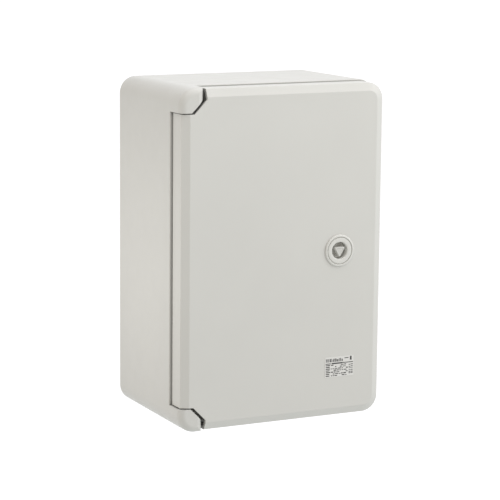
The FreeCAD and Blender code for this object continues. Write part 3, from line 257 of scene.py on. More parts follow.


# Moulded plastic and rubber: slow colour drift, uneven gloss and a fine grain, and painted shade in
# narrow gaps where a reach is given
def moulded(name, colour, roughness, drift, grain=900, grainDepth=0.00003, specular=0.45,
            coat=0.0, edge=0.0, paintedShadeReach=0.0):
    material, tree, shader = nodeMaterial(name)
    place = tree.nodes.new("ShaderNodeTexCoord")
    cloud = addNoise(tree, place, surface["swirl"], 4)
    spread = addRange(tree, cloud.outputs["Fac"], 0, 1)
    tint = addTint(tree, shader, spread.outputs["Result"], shade(colour, 1 - drift),
                   shade(colour, 1 + drift))
    # painted shade: narrow gaps are darkened in the base colour
    if paintedShadeReach:
        addPaintedGapShade(tree, shader, tint, paintedShadeReach, shade(colour, surface["paintedGapShade"]))
    rub = addNoise(tree, place, surface["rub"], 3)
    smoother, rougher = surface["rubGloss"]
    gloss = addRange(tree, rub.outputs["Fac"], roughness - smoother, roughness + rougher)
    tree.links.new(gloss.outputs["Result"], shader.inputs["Roughness"])
    skinNoise = addNoise(tree, place, grain, 2)
    addBump(tree, shader, skinNoise.outputs["Fac"], grainDepth, surface["grainStrength"],
            addSoftEdge(tree, edge) if edge else None)
    shader.inputs["Specular IOR Level"].default_value = specular
    shader.inputs["Coat Weight"].default_value = coat
    return material


# The same for small device mouldings, with a finer grain and soft edges
def smallMoulded(name, colour, roughness, drift):
    return moulded(name, colour, roughness, drift, surface["fineGrain"], edge=surface["smallEdge"])


def lens(name, colour, roughness, coat):
    return moulded(name, colour, roughness, 0.1, surface["fineGrain"], coat=coat)


# Plated or bare metal: drawn lines along one direction and cloudy gloss, or zinc spangles
def metal(name, colour, roughness, spangle=0):
    material, tree, shader = nodeMaterial(name)
    place = tree.nodes.new("ShaderNodeTexCoord")
    shader.inputs["Metallic"].default_value = 1.0
    if spangle:
        cells = tree.nodes.new("ShaderNodeTexVoronoi")
        cells.inputs["Scale"].default_value = spangle
        tree.links.new(place.outputs["Object"], cells.inputs["Vector"])
        source = addRange(tree, cells.outputs["Color"], 0, 1, surface["spangleSpread"])
    else:
        cloud = addNoise(tree, place, surface["cloud"], 4)
        source = addRange(tree, cloud.outputs["Fac"], 0, 1)
    dark, light = (shade(colour, factor) for factor in surface["plateShades"])
    addTint(tree, shader, source.outputs["Result"], dark, light)
    smoother, rougher = surface["plateGloss"]
    gloss = addRange(tree, source.outputs["Result"], roughness - smoother, roughness + rougher,
                     (0, 1))
    tree.links.new(gloss.outputs["Result"], shader.inputs["Roughness"])
    stretch = tree.nodes.new("ShaderNodeMapping")
    stretch.inputs["Scale"].default_value = surface["lines"]
    tree.links.new(place.outputs["Object"], stretch.inputs["Vector"])
    streak = tree.nodes.new("ShaderNodeTexNoise")
    streak.inputs["Scale"].default_value = surface["lineScale"]
    tree.links.new(stretch.outputs["Vector"], streak.inputs["Vector"])
    addBump(tree, shader, streak.outputs["Fac"], surface["lineDepth"], surface["lineStrength"])
    return material


paleGrey = (0.60, 0.597, 0.565)
blackPlastic = (0.05, 0.055, 0.06)
deepBlack = (0.02, 0.02, 0.022)
# How far the painted gap shade on the case and the door reaches
paintedGapReach = 0.005
finishes = {
    # Painted shade: the case takes a slightly darker copy of the door's grey, standing in for shade
    # on its top, side and hinge blocks
    "case_plastic": moulded("caseAbs", shade(paleGrey, 0.965), 0.44, 0.012, paintedShadeReach=paintedGapReach),
    "door_plastic": moulded("doorAbs", paleGrey, 0.44, 0.012, paintedShadeReach=paintedGapReach),
    "gasket_foam": moulded("gasketFoam", (0.03, 0.03, 0.03), 0.8, 0.2, grain=500,
                           grainDepth=0.0002, specular=0.2),
    # Painted highlight: the lock ring takes a lighter copy of the door's grey, so that its lip
    # reads brighter than the door
    "lock_plastic": moulded("lockAbs", shade(paleGrey, 1.07), 0.24, 0.012),
    "rotor_plastic": moulded("rotorPlastic", shade(paleGrey, 0.95), 0.34, 0.02),
    "zinc_steel": metal("zincSteel", (0.70, 0.71, 0.72), 0.3),
    "galvanised_sheet": metal("galvanisedSheet", (0.62, 0.64, 0.66), 0.42, spangle=120),
    "label_film": moulded("labelFilm", (0.675, 0.672, 0.645), 0.3, 0.01),
    "device_plastic": smallMoulded("devicePlastic", (0.66, 0.66, 0.64), 0.5, 0.02),
    "handle_plastic": smallMoulded("handlePlastic", blackPlastic, 0.45, 0.1),
    "cartridge_plastic": smallMoulded("cartridgePlastic", blackPlastic, 0.45, 0.1),
    "toggle_plastic": smallMoulded("togglePlastic", deepBlack, 0.35, 0.1),
    "fuse_ceramic": moulded("fuseCeramic", (0.78, 0.76, 0.70), 0.2, 0.03, grain=700, coat=0.4),
    "copper_bar": metal("copperBar", (0.83, 0.50, 0.36), 0.3),
    "terminal_grey": smallMoulded("terminalGrey", (0.25, 0.27, 0.29), 0.5, 0.04),
    "terminal_red": smallMoulded("terminalRed", (0.40, 0.02, 0.015), 0.5, 0.06),
    "terminal_green": smallMoulded("terminalGreen", (0.06, 0.27, 0.04), 0.5, 0.06),
    "clip_plastic": smallMoulded("clipPlastic", deepBlack, 0.5, 0.1),
    "gland_plastic": moulded("glandPlastic", shade(paleGrey, 0.9), 0.4, 0.02),
    "gland_rubber": moulded("glandRubber", (0.015, 0.015, 0.015), 0.65, 0.2, grain=800,
                            grainDepth=0.0001, specular=0.3),
    "ink": moulded("labelInk", (0.05, 0.05, 0.05), 0.6, 0.2),
    "tagPlastic": moulded("tagPlastic", (0.70, 0.70, 0.675), 0.35, 0.02),
    "amberLens": lens("amberLens", (0.55, 0.10, 0.01), 0.12, 0.5),
    "redLens": lens("redLens", (0.50, 0.01, 0.008), 0.2, 0.3),
    "greenLens": lens("greenLens", (0.01, 0.32, 0.03), 0.15, 0.5),
    "wire_black": moulded("wireBlack", (0.012, 0.012, 0.013), 0.4, 0.15),
    "wire_red": moulded("wireRed", (0.36, 0.012, 0.01), 0.4, 0.08),
    "wire_green": moulded("wireGreen", (0.09, 0.30, 0.03), 0.4, 0.08),
}


# Every CAD node takes the finish of its slot
for row in frame["record"]["subparts"]:
    node = frame["nodes"][row["node"]]
    for place in node.material_slots:
        place.material = finishes[row["material_slot"]]
print("finishes assigned")


# Shapes are drawn in millimetres as across, depth out of the door, and up
def spot(across, depth, up):
    return Vector((across, -depth, up))


def spanOf(corners):
    (left, front, low), (right, back, top) = corners
    return {"left": left / mm, "right": right / mm, "back": -back / mm, "front": -front / mm,
            "low": low / mm, "top": top / mm, "across": (left + right) / 2 / mm,
            "depth": -(front + back) / 2 / mm, "up": (low + top) / 2 / mm}


def nodeSpan(node):
    return spanOf(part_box(node))


# The spans of the separate solids in one node, left to right and bottom to top
def solidSpans(node):
    shape = frame["nodes"][node]
    places = [tuple(round(c, 5) for c in shape.matrix_world @ v.co)  # to 0.01 mm
              for v in shape.data.vertices]
    home = {place: place for place in places}

    def root(place):
        while home[place] != place:
            home[place] = home[home[place]]
            place = home[place]
        return place

    for face in shape.data.polygons:
        first = root(places[face.vertices[0]])
        for index in face.vertices[1:]:
            home[root(places[index])] = first
    groups = {}
    for place in home:
        groups.setdefault(root(place), []).append(place)
    spans = []
    for group in groups.values():
        sides = list(zip(*group))
        spans.append(spanOf(([min(side) for side in sides], [max(side) for side in sides])))
    return sorted(spans, key=lambda span: (round(span["across"]), span["up"]))


# A skin through loops of points that have the same number of points each
def skin(bm, loops, closed=False):
    rings = [[bm.verts.new(spot(*point)) for point in loop] for loop in loops]
    count = len(rings[0])
    for near, far in zip(rings, rings[1:] + (rings[:1] if closed else [])):
        for index in range(count):
            after = (index + 1) % count
            bm.faces.new((near[index], near[after], far[after], far[index]))
    if not closed:
        bm.faces.new(rings[0])
        bm.faces.new(rings[-1])


# A turned shape about the depth or up axis: pairs of radius and place along the axis.
# A radius may be a function of the angle
def turned(bm, axis, centre, profile, steps, closed=False):
    loops = []
    for radius, along in profile:
        loop = []
        for step in range(steps):
            angle = 2 * math.pi * step / steps
            reach = radius(angle) if callable(radius) else radius
            a = centre[0] + reach * math.cos(angle)
            b = centre[1] + reach * math.sin(angle)
            loop.append((a, along, b) if axis == "depth" else (a, b, along))
        loops.append(loop)
    skin(bm, loops, closed)


def hexReach(flats, limit=math.inf):
    def reach(angle):
        turn = (angle % (math.pi / 3)) - math.pi / 6
        return min(limit, flats / 2 / math.cos(turn))
    return reach


leastSine = 0.001  # keeps the divisions below away from zero


def crossReach(arm, half):
    def reach(angle):
        turn = (angle + math.pi / 4) % (math.pi / 2) - math.pi / 4
        return min(arm / math.cos(turn), half / max(abs(math.sin(turn)), leastSine))
    return reach


def slotReach(arm, half):
    return lambda angle: min(arm, half / max(abs(math.sin(angle)), leastSine))


# Rings of a thread from start to stop, as a profile for a turned shape
def thread(radius, start, stop, pitch, cut):
    rings = []
    count = int(abs(stop - start) / pitch)
    for turn in range(count):
        along = start + (stop - start) * turn / count
        rings += [(radius, along), (radius - cut, along + (stop - start) / count / 2)]
    return rings + [(radius, stop)]


def rounded(corners, radius, steps=4):
    outline = []
    for index, corner in enumerate(corners):
        point = Vector(corner)
        before = (Vector(corners[index - 1]) - point).normalized()
        after = (Vector(corners[(index + 1) % len(corners)]) - point).normalized()
        half = before.angle(after) / 2
        middle = point + (before + after).normalized() * (radius / math.sin(half))
        start = point + before * (radius / math.tan(half)) - middle
        stop = point + after * (radius / math.tan(half)) - middle
        for step in range(steps + 1):
            outline.append(tuple(middle + start.lerp(stop, step / steps).normalized() * radius))
    return outline


def rectangle(left, right, low, top, inset=0.0):
    return [(left + inset, low + inset), (right - inset, low + inset),
            (right - inset, top - inset), (left + inset, top - inset)]


# A plate or bar facing the door side, with round corners and a soft front edge
def pad(bm, left, right, low, top, back, front, corner, soft):
    brim, leastCorner = soft * 0.3, 0.05
    flat = rounded(rectangle(left, right, low, top), corner)
    most, drawn = (rounded(rectangle(left, right, low, top, inset),
                           max(corner - inset, leastCorner)) for inset in (brim, soft))
    loops = [(flat, back), (flat, front - soft), (most, front - brim), (drawn, front)]
    skin(bm, [[(a, depth, b) for a, b in outline] for outline, depth in loops])


# A pad or a frame whose sizes come from a dictionary, on a face at a given height
def addPlate(bm, across, up, face, p):
    pad(bm, across - p["half"], across + p["half"], up + p["low"], up + p["top"],
        face - p["sunk"], face + p["proud"], p["corner"], p["soft"])


def addFrame(bm, across, up, face, p):
    left, right, low, top = across - p["half"], across + p["half"], up + p["low"], up + p["top"]
    edge, corner = 0.2, 0.8
    outer = [rounded(rectangle(left, right, low, top, grow), corner) for grow in (0, edge)]
    inner = [rounded(rectangle(left, right, low, top, p["rim"] - grow), corner * 0.6)
             for grow in (edge, 0)]
    back, front = face - p["sunk"], face + p["proud"]
    loops = [(outer[0], back), (outer[0], front - edge), (outer[1], front), (inner[0], front),
             (inner[1], front - edge), (inner[1], back)]
    skin(bm, [[(a, depth, b) for a, b in outline] for outline, depth in loops], True)


sharpAngle = 32  # degrees; flatter joins between faces are shaded smooth


def addPiece(name, bm, finish, body, stands=()):
    bmesh.ops.recalc_face_normals(bm, faces=bm.faces[:])
    mesh = bpy.data.meshes.new(name)
    bm.to_mesh(mesh)
    bm.free()
    mesh.transform(Matrix.Scale(mm, 4))
    mesh.polygons.foreach_set("use_smooth", [True] * len(mesh.polygons))
    mesh.set_sharp_from_angle(angle=math.radians(sharpAngle))
    mesh.materials.append(finish)
    piece = bpy.data.objects.new(name, mesh)
    scene.collection.objects.link(piece)
    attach(piece, body)
    if stands:
        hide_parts(*stands)


# Label: plain bars and rules stand in for its print; places are shares of its width and height
label = {
    "ink": 0.02, "corner": 0.04, "soft": 0.01,
    "seed": 11,
    "heading": {"left": 0.03, "right": 0.62, "low": 0.745, "top": 0.755,
                "bars": (0.018, 0.026, 0.04), "rises": (0.11, 0.15, 0.15),
                "gaps": (0.014, 0.024)},
    "rules": ((0.68, 0.82, 0.87, 0.91), (0.87, 0.93, 0.77, 0.96), (0.02, 0.20, 0.645, 0.685),
              (0.23, 0.60, 0.635, 0.70), (0.60, 0.98, 0.65, 0.69)),  # left, right, low, top
    "rows": 7, "firstRow": 0.565, "rowHeight": 0.046, "rowPitch": 0.086,
    "rowStart": 0.03, "firstBar": (0.12, 0.16),
    "table": (0.21, 0.76, 0.80), "tableBar": (0.04, 0.13), "tableGap": 0.02,
    "filled": 0.8, "uneven": (0.7, 1.2),
    "column": (0.53, 0.43, 0.26, 0.17, 0.11),
    "columnRule": (0.83, 0.975, 0.365, 0.39),
}


def makeLabelPrint(p):
    span = nodeSpan("rating_label")
    width, height = span["right"] - span["left"], span["top"] - span["low"]
    dice = random.Random(p["seed"])
    bm = bmesh.new()

    def bar(left, right, low, top):
        pad(bm, span["left"] + left * width, span["left"] + right * width,
            span["low"] + low * height, span["low"] + top * height,
            span["front"] - p["ink"], span["front"] + p["ink"], p["corner"], p["soft"])

    heading = p["heading"]
    edge = heading["left"]
    while edge < heading["right"]:
        wide = dice.choice(heading["bars"])
        top = heading["top"] + dice.choice(heading["rises"])
        bar(edge, edge + wide, heading["low"], top)
        edge += wide + dice.choice(heading["gaps"])
    for rule in p["rules"]:
        bar(*rule)
    start, last, stop = p["table"]
    for row in range(p["rows"]):
        low = p["firstRow"] - row * p["rowPitch"]
        bar(p["rowStart"], p["rowStart"] + dice.uniform(*p["firstBar"]), low,
            low + p["rowHeight"])
        edge = start
        while edge < last:
            wide = dice.uniform(*p["tableBar"])
            if dice.random() < p["filled"]:
                bar(edge, min(edge + wide, stop), low,
                    low + p["rowHeight"] * dice.uniform(*p["uneven"]))
            edge += wide + p["tableGap"]
    for low in p["column"]:
        bar(0.83, 0.895, low, low + 0.035)
        bar(0.905, 0.975, low + 0.01, low + 0.05)
    bar(*p["columnRule"])
    addPiece("labelPrint", bm, finishes["ink"], "door")


# Lock: a turned ring with a raised lip, a fine groove and a sunken seat for the key
lock = {
    "bore": 6.15, "barrel": 10.95, "thread": 1.5, "threadDepth": 0.5,
    "lipFoot": ((0.1, 0), (0, 0.1), (0.05, 0.35), (0.2, 0.8)),  # in from the edge, off the door
    "lipTop": ((0.45, 0.34), (0.8, 0.1), (1.3, 0.02), (1.8, 0), (2.0, 0.12), (2.05, 1.1),
               (2.65, 1.15), (2.75, 0.3), (3.1, 0.18)),  # in from the edge, behind the front
    "seatWall": ((8.6, 0.22), (8.0, 0.38), (7.6, 0.85), (7.5, 1.6)),  # radius, behind the front
    "seatDepth": 5.5,  # from the rotor's front to the seat's floor
    "shaft": ((1.7, 9.0), (2.0, 8.6), (2.0, 0.3), (2.3, 0), (3.4, 0), (3.45, 2.0), (5.6, 2.0),
              (5.95, 2.4)),  # radius, in front of the rotor's back
    "disc": ((5.95, 0), (7.3, 0), (7.3, 0.75), (7.1, 0.95), (6.4, 0.8), (4.2, 0.6)),
    "keyFoot": 0.4, "keySide": 6.3, "keyRound": 0.8, "proud": 1.3,
    "keyEdge": ((0, 0.6), (0.12, 0.25), (0.45, 0), (0.85, 0), (1.1, 0.3)),
    "nutBore": 11.1,
}


def makeLock(p):
    span, rotor, nut = (nodeSpan(node) for node in ("lock_housing", "lock_rotor", "lock_nut"))
    centre = (span["across"], span["up"])
    front, back = span["front"], span["back"]
    wide = (span["right"] - span["left"]) / 2
    face = nodeSpan("door_panel")["front"]
    floor = rotor["front"] - p["seatDepth"]
    bore, barrel = p["bore"], p["barrel"]
    profile = [(bore, back), (10.3, back), (10.9, back + 0.8)]
    along = back + 1.4
    while along < face - 3.2:
        profile += [(barrel, along), (barrel - p["threadDepth"], along + p["thread"] / 2)]
        along += p["thread"]
    profile += [(barrel, face - 2.4), (barrel, face)]
    profile += [(wide - inset, face + out) for inset, out in p["lipFoot"]]
    profile += [(wide - inset, front - behind) for inset, behind in p["lipTop"]]
    profile += [(radius, front - behind) for radius, behind in p["seatWall"]]
    profile += [(p["seatWall"][-1][0], floor), (bore, floor)]
    bm = bmesh.new()
    turned(bm, "depth", centre, profile, 112, True)
    addPiece("lockCase", bm, finishes["lock_plastic"], "door", ["lock_housing"])

    bm = bmesh.new()
    profile = [(radius, rotor["back"] + out) for radius, out in p["shaft"]]
    profile += [(radius, floor + out) for radius, out in p["disc"]]
    turned(bm, "depth", centre, profile, 72)
    tip = rotor["front"] + p["proud"]
    loops = []
    levels = [(0, floor + p["keyFoot"])]
    levels += [(shrink, tip - behind) for shrink, behind in p["keyEdge"]]
    for shrink, depth in levels:
        reach = p["keySide"] - 2 * shrink
        corners = [(centre[0] + reach * math.cos(a), centre[1] + reach * math.sin(a))
                   for a in (math.radians(angle) for angle in (-90, 30, 150))]
        outline = rounded(corners, p["keyRound"] * (1 - shrink * 0.5))
        loops.append([(a, depth, b) for a, b in outline])
    skin(bm, loops)
    addPiece("lockKey", bm, finishes["rotor_plastic"], "lock", ["lock_rotor"])

    flats = nut["top"] - nut["low"]
    bm = bmesh.new()
    turned(bm, "depth", centre,
           [(p["nutBore"], nut["back"] + 0.4), (p["nutBore"] + 0.4, nut["back"]),
            (flats / 2 - 0.6, nut["back"]), (hexReach(flats, flats / 2 + 0.6), nut["back"] + 0.5),
            (hexReach(flats), nut["back"] + 1.3), (hexReach(flats), nut["front"]),
            (p["nutBore"], nut["front"])], 96, True)
    addPiece("lockNut", bm, finishes["rotor_plastic"], "door", ["lock_nut"])


# Gasket: a foamed bead with the line that the rim presses into it
gasket = {
    "corner": 21.03, "cornerShare": 0.586, "round": 7,  # the cut corners and how they shrink inward
    "width": 6.0, "pressed": 0.22,
    "side": ((0.0, 1.5), (0.15, 0.8), (0.6, 0.3), (1.3, 0.04), (1.9, 0)),  # in, off the back
    "line": 2.3,
}


def makeGasket(p):
    span = nodeSpan("door_gasket")
    back, front = span["back"], span["front"]
    profile = [(0.2, front), (0.0, front - 0.6)]
    profile += [(inset, back + out) for inset, out in p["side"]]
    profile += [(p["line"], back + p["pressed"])]
    profile += [(p["width"] - inset, depth) for inset, depth in reversed(profile)]
    loops = []
    for inset, depth in profile:
        left, right = span["left"] + inset, span["right"] - inset
        low, top = span["low"] + inset, span["top"] - inset
        cut = p["corner"] - p["cornerShare"] * inset
        corners = [(left + cut, low), (right - cut, low), (right, low + cut), (right, top - cut),
                   (right - cut, top), (left + cut, top), (left, top - cut), (left, low + cut)]
        loops.append([(a, depth, b) for a, b in rounded(corners, p["round"] - inset, 6)])
    bm = bmesh.new()
    skin(bm, loops, True)
    addPiece("gasketBead", bm, finishes["gasket_foam"], "door", ["door_gasket"])


# Cable glands: threaded bodies, ribbed caps, rubber seals, washers and locknuts
gland = {
    "flats": 20.0, "bore": 5.0, "screw": 8.0, "pitch": 1.5, "cut": 0.55,
    "collarUp": 6, "collar": 5,  # where the body's hexagon starts, and its height
    "rib": 0.28, "ribs": 42, "capBore": 8.1, "mouth": 4.5,
}


def glandBody(p, span):
    low, top, flats = span["low"], span["top"], p["flats"]
    foot = low + p["collarUp"]
    head = foot + p["collar"]
    bore, screw, edge, chamfer = p["bore"], p["screw"], flats / 2 - 0.3, hexReach(flats, 10.9)
    profile = [(bore, top - 0.4), (bore + 0.4, top), (7.3, top)]
    profile += thread(screw, top - 0.6, head + 0.3, p["pitch"], p["cut"])
    profile += [(7.9, head), (edge, head), (chamfer, head - 0.3), (hexReach(flats), head - 0.9),
                (hexReach(flats), foot + 0.9), (chamfer, foot + 0.3), (edge, foot), (7.9, foot)]
    profile += thread(screw, foot - 0.6, low + 0.7, p["pitch"], p["cut"])
    return profile + [(7.3, low), (bore + 0.3, low), (bore, low + 0.4)]


def glandCap(p, span):
    low, top, grip = span["low"], span["top"], p["flats"] - 1
    edge, chamfer, full = grip / 2 - 0.2, hexReach(grip, 10.3), hexReach(grip)

    def ribbed(angle):
        return full(angle) - p["rib"] * (0.5 + 0.5 * math.cos(p["ribs"] * angle))

    return [(p["capBore"], top), (edge, top), (chamfer, top - 0.4), (full, top - 1.0),
            (full, top - 1.5), (ribbed, top - 1.9), (ribbed, low + 5.1), (full, low + 4.7),
            (chamfer, low + 4.1), (9.35, low + 3.7), (9.1, low + 3.2), (8.85, low + 2.2),
            (8.3, low + 1.2), (7.5, low + 0.5), (6.5, low + 0.1), (5.5, low),
            (p["mouth"] + 0.35, low + 0.12), (p["mouth"], low + 0.6), (p["mouth"], low + 3.0),
            (p["capBore"], low + 3.0)]


def glandSeal(p, span):
    low, top = span["low"], span["top"]
    folds = [(3.5, low + 1.2), (3.8, low + 2.2), (3.5, low + 3.2), (3.8, low + 4.2),
             (3.5, low + 5.2)]
    return [(3.6, top), (4.7, top), (4.9, top - 0.4), (4.9, low + 3.9), (5.4, low + 3.5),
            (7.6, low + 3.4), (7.75, low + 3.0), (7.75, low + 0.5), (7.4, low), (4.6, low),
            (4.1, low + 0.12), (3.7, low + 0.5)] + folds


def glandWasher(p, span):
    low, top, reach = span["low"], span["top"], (span["right"] - span["left"]) / 2
    return [(p["capBore"], top), (reach - 0.35, top), (reach - 0.05, top - 0.35),
            (reach, low + 0.7), (reach - 0.1, low + 0.3), (reach - 0.4, low), (p["capBore"], low)]


def glandLocknut(p, span):
    low, top, flats = span["low"], span["top"], span["front"] - span["back"]
    half, full = flats / 2, hexReach(flats)
    return [(8.3, top), (half - 0.4, top), (hexReach(flats, half + 0.5), top - 0.4),
            (full, top - 1.2), (full, low + 1.4), (half + 0.6, low + 1.2), (half + 0.6, low),
            (p["capBore"], low), (p["capBore"], top - 0.3)]


def makeGlands(p):
    for name, node, profile, slot, steps in (
            ("glandBodies", "gland_bodies", glandBody, "gland_plastic", 96),
            ("glandCaps", "gland_cap_nuts", glandCap, "gland_plastic", 252),
            ("glandSeals", "gland_seals", glandSeal, "gland_rubber", 96),
            ("glandWashers", "gland_washers", glandWasher, "gland_rubber", 96),
            ("glandLocknuts", "gland_locknuts", glandLocknut, "gland_plastic", 96)):
        bm = bmesh.new()
        for span in solidSpans(node):
            centre = (span["across"], span["depth"])
            turned(bm, "up", centre, profile(p, span), steps, True)
        addPiece(name, bm, finishes[slot], "case", [node])


# Screws: domed heads with a cross recess, and flat terminal heads with a slot and cross
screws = {
    "recessArm": 2.1, "recessHalf": 0.62, "recessDepth": 1.5, "recessEdge": 0.12,
    "headHeight": 2.6, "dome": ((2.5, 0.08), (3.2, 0.4), (3.7, 0.95)),  # radius, below the top
    "shank": 2.0, "pitch": 0.7, "cut": 0.28, "point": (0.6, 1.2),  # its radius and its length
    "slotShare": 0.82, "slotHalf": 0.34, "crossShare": 0.5, "crossHalf": 0.3, "slotDepth": 1.1,
}


def crossProfile(p, span):
    front, back, head = span["front"], span["back"], (span["right"] - span["left"]) / 2
    seat = front - p["headHeight"]
    arm, half, edge, shank = p["recessArm"], p["recessHalf"], p["recessEdge"], p["shank"]
    pointRadius, pointLength = p["point"]
    profile = [(crossReach(arm * 0.5, half * 0.5), front - p["recessDepth"]),
               (crossReach(arm, half), front - edge),
               (crossReach(arm + edge, half + edge), front - 0.02)]
    profile += [(radius, front - behind) for radius, behind in p["dome"]]
    profile += [(head - 0.03, front - 1.7), (head, seat + 0.25), (head - 0.2, seat), (shank, seat)]
    profile += thread(shank, seat - 0.3, back + pointLength, p["pitch"], p["cut"])
    return profile + [(pointRadius, back)]


def slotProfile(p, span):
    front, back, head = span["front"], span["back"], (span["right"] - span["left"]) / 2
    slot = slotReach(head * p["slotShare"], p["slotHalf"])
    cross = crossReach(head * p["crossShare"], p["crossHalf"])

    def slotted(angle):
        return max(slot(angle), cross(angle))

    return [(slotted, front - p["slotDepth"]), (slotted, front - 0.05), (head * 0.84, front),
            (head - 0.08, front - 0.12), (head, front - 0.4), (head, back)]


def makeScrews(p):
    crossed = ("plate_screws", "rail_screws")
    slotted = ("fuse_terminal_screws", "breaker_terminal_screws", "surge_terminal_screws",
               "terminal_screws")
    for nodes, prefix, profile, steps in ((crossed, "crossHeads_", crossProfile, 64),
                                          (slotted, "screwHeads_", slotProfile, 96)):
        for node in nodes:
            bm = bmesh.new()
            for span in solidSpans(node):
                turned(bm, "depth", (span["across"], span["up"]), profile(p, span), steps)
            addPiece(prefix + node, bm, finishes["zinc_steel"], "case", [node])


# Blank tags beside the terminals of every device, near its top and its foot
tag = {"half": 6.5, "low": 0, "top": 2.8, "sunk": 0.1, "proud": 0.3, "corner": 0.5, "soft": 0.12,
       "fromTop": 3.6, "fromFoot": 0.8, "shoulder": 6}  # the shoulder lies behind the nose


def tagRows(span):
    return span["top"] - tag["fromTop"], span["low"] + tag["fromFoot"]


# Fuse holders: grip ribs, a lit window in its frame and blank tags on each
fuses = {
    "count": 4, "faceBehind": 3,  # the lower face lies behind the handle's front
    "handleRibs": {"count": 4, "from": 1.6, "pitch": 1.5, "half": 5.6, "low": 0, "top": 0.7,
                   "sunk": 0.3, "proud": 0.3, "corner": 0.3, "soft": 0.15},
    "faceRibs": {"count": 5, "from": 3, "pitch": 1.7, "half": 5.2, "low": 0, "top": 0.8,
                 "sunk": 0.3, "proud": 0.5, "corner": 0.35, "soft": 0.25},
    "windowFrame": {"half": 4.2, "low": 15.5, "top": 23.5, "sunk": 0.3, "proud": 0.55, "rim": 1.0},
    "window": {"half": 3.3, "low": 16.4, "top": 22.6, "sunk": 0.3, "proud": 0.3, "corner": 0.5,
               "soft": 0.2},
}


def makeFuseTrim(p):
    tags = bmesh.new()
    shoulder = nodeSpan("breaker_housing")["front"] - tag["shoulder"]
    for index in range(1, p["count"] + 1):
        base, carrier = nodeSpan(f"fuse_base_{index}"), nodeSpan(f"fuse_carrier_{index}")
        across, body = base["across"], f"carrier_{index}"
        grips = bmesh.new()
        ribs = p["handleRibs"]
        for rib in range(ribs["count"]):
            up = carrier["top"] - ribs["from"] - rib * ribs["pitch"]
            addPlate(grips, across, up, carrier["front"], ribs)
        face = carrier["front"] - p["faceBehind"]
        ribs = p["faceRibs"]
        for rib in range(ribs["count"]):
            addPlate(grips, across, carrier["low"] + ribs["from"] + rib * ribs["pitch"], face, ribs)
        addFrame(grips, across, carrier["low"], face, p["windowFrame"])
        addPiece(f"carrierGrips_{index}", grips, finishes["handle_plastic"], body)
        window = bmesh.new()
        addPlate(window, across, carrier["low"], face, p["window"])
        addPiece(f"carrierWindow_{index}", window, finishes["amberLens"], body)
        for up in tagRows(base):
            addPlate(tags, across, up, shoulder, tag)
    addPiece("fuseTags", tags, finishes["tagPlastic"], "case")


# Breaker: the seam between its poles, a state window in its frame, and blank tags
breaker = {
    "poleHalf": 9, "flagAcross": -13.1,
    "seam": {"half": 0.15, "low": 0, "sunk": 0.1, "proud": 0.02, "corner": 0.1, "soft": 0.01},
    "noseHalf": 22.5, "noseSeam": (15.4, 22), "endGap": 0.5,  # from the rail's middle
    "title": {"half": 14.0, "low": 16.4, "top": 20.6, "sunk": 0.1, "proud": 0.25, "corner": 0.6,
              "soft": 0.12},
    "flag": {"half": 1.5, "low": -3, "top": 3, "sunk": 0.1, "proud": 0.12, "corner": 0.5,
             "soft": 0.06},
    "flagFrame": {"half": 2.5, "low": -4, "top": 4, "sunk": 0.1, "proud": 0.4, "rim": 0.9},
}


def makeBreakerTrim(p):
    span = nodeSpan("breaker_housing")
    across, nose, shoulder = span["across"], span["front"], span["front"] - tag["shoulder"]
    middle = nodeSpan("din_rail_upper")["up"]
    near, far = p["noseSeam"]
    seams = bmesh.new()
    for low, top, face in ((span["low"] + p["endGap"], middle - p["noseHalf"], shoulder),
                           (middle + p["noseHalf"], span["top"] - p["endGap"], shoulder),
                           (middle - far, middle - near, nose),
                           (middle + near, middle + far, nose)):
        addPlate(seams, across, low, face, {**p["seam"], "top": top - low})
    addPiece("breakerSeams", seams, finishes["clip_plastic"], "case")
    tags = bmesh.new()
    addPlate(tags, across, middle, nose, p["title"])
    for up in tagRows(span):
        for side in (-p["poleHalf"], p["poleHalf"]):
            addPlate(tags, across + side, up, shoulder, tag)
    addPiece("breakerTags", tags, finishes["tagPlastic"], "case")
    flag = bmesh.new()
    addPlate(flag, across + p["flagAcross"], middle, nose, p["flag"])
    addPiece("breakerFlag", flag, finishes["redLens"], "case")
    surround = bmesh.new()
    addFrame(surround, across + p["flagAcross"], middle, nose, p["flagFrame"])
    addPiece("breakerBezel", surround, finishes["device_plastic"], "case")


# Surge protector: green windows, grip ribs and blank plates on the cartridges
surge = {
    "ways": 3,
    "window": {"half": 2.8, "low": 6.2, "top": 10.8, "sunk": 1.2, "proud": -0.5, "corner": 0.3,
               "soft": 0.1},
    "windowFrame": {"half": 3.8, "low": 5.2, "top": 11.8, "sunk": 0.3, "proud": 0.4, "rim": 0.8},
    "ribs": {"count": 4, "fromFoot": 1.4, "fromTop": 2.2, "pitch": 1.6, "half": 5.8, "low": 0,
             "top": 0.8, "sunk": 0.3, "proud": 0.45, "corner": 0.35, "soft": 0.25},
    "plate": {"half": 6.2, "low": -10, "top": 2.6, "sunk": 0.1, "proud": 0.15, "corner": 0.8,
              "soft": 0.08},
}


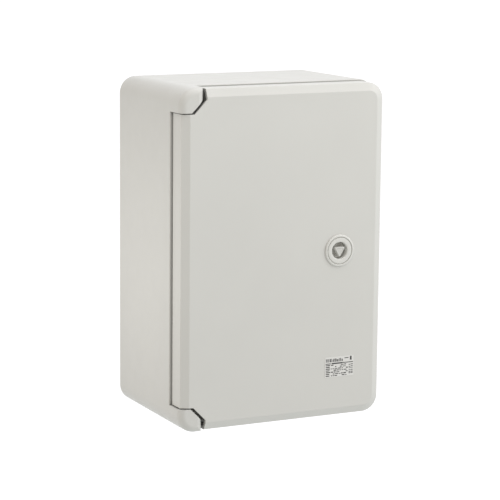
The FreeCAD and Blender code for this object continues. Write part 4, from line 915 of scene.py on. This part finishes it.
def makeSurgeTrim(p):
    tags = bmesh.new()
    base = nodeSpan("surge_base")
    screwSpans = solidSpans("surge_terminal_screws")  # two to a way
    slot = "cartridge_plastic"
    for way in range(1, p["ways"] + 1):
        span, body = nodeSpan(f"surge_cartridge_{way}"), f"cartridge_{way}"
        across, front = screwSpans[2 * way - 2]["across"], span["front"]
        window = bmesh.new()
        addPlate(window, across, span["up"], front, p["window"])
        addPiece(f"surgeWindow_{way}", window, finishes["greenLens"], body)
        grips = bmesh.new()
        ribs = p["ribs"]
        for rib in range(ribs["count"]):
            for up in (span["low"] + ribs["fromFoot"] + rib * ribs["pitch"],
                       span["top"] - ribs["fromTop"] - rib * ribs["pitch"]):
                addPlate(grips, across, up, front, ribs)
        addFrame(grips, across, span["up"], front, p["windowFrame"])
        addPiece(f"surgeGrips_{way}", grips, finishes[slot], body)
        plate = bmesh.new()
        addPlate(plate, across, span["up"], front, p["plate"])
        addPiece(f"surgePlate_{way}", plate, finishes["tagPlastic"], body)
        for up in tagRows(base):
            addPlate(tags, across, up, base["front"], tag)
    addPiece("surgeTags", tags, finishes["tagPlastic"], "case")


# Terminals: blank marker tags pressed into their recesses
terminals = {
    "words": ("negative", "earth", "positive"),
    "marker": {"half": 2.8, "low": -3.8, "top": 3.8, "sunk": 1.1, "proud": -0.1, "corner": 0.5,
               "soft": 0.25},
}


def makeTerminalTags(p):
    bm = bmesh.new()
    up = nodeSpan("din_rail_lower")["up"]
    for word in p["words"]:
        span = nodeSpan(f"terminal_{word}")
        addPlate(bm, span["across"], up, span["front"], p["marker"])
    addPiece("terminalTags", bm, finishes["tagPlastic"], "case")


makeLabelPrint(label)
makeLock(lock)
makeGasket(gasket)
print("door pieces made")
makeGlands(gland)
makeScrews(screws)
print("glands and screws made")
makeFuseTrim(fuses)
makeBreakerTrim(breaker)
makeSurgeTrim(surge)
makeTerminalTags(terminals)
print("device pieces made")


# A pale floor that only the camera sees
def makeFloor(p):
    half = p["floorSize"] / 2
    low = cadBox[0].z - p["floorDrop"]
    mesh = bpy.data.meshes.new("floor")
    corners = [(-half, -half, low), (half, -half, low), (half, half, low), (-half, half, low)]
    mesh.from_pydata(corners, [], [(0, 1, 2, 3)])
    floor = bpy.data.objects.new("floor", mesh)
    scene.collection.objects.link(floor)
    paper = moulded("paleFloor", p["floorTone"], 0.6, 0.01, grain=40)
    shader = paper.node_tree.nodes["Principled BSDF"]
    shader.inputs["Emission Color"].default_value = (1, 1, 1, 1)
    shader.inputs["Emission Strength"].default_value = p["floorGlow"]
    floor.data.materials.append(paper)
    floor.visible_diffuse = False
    floor.visible_glossy = False


makeFloor(studio)
print("floor laid")

bpy.context.view_layer.update()
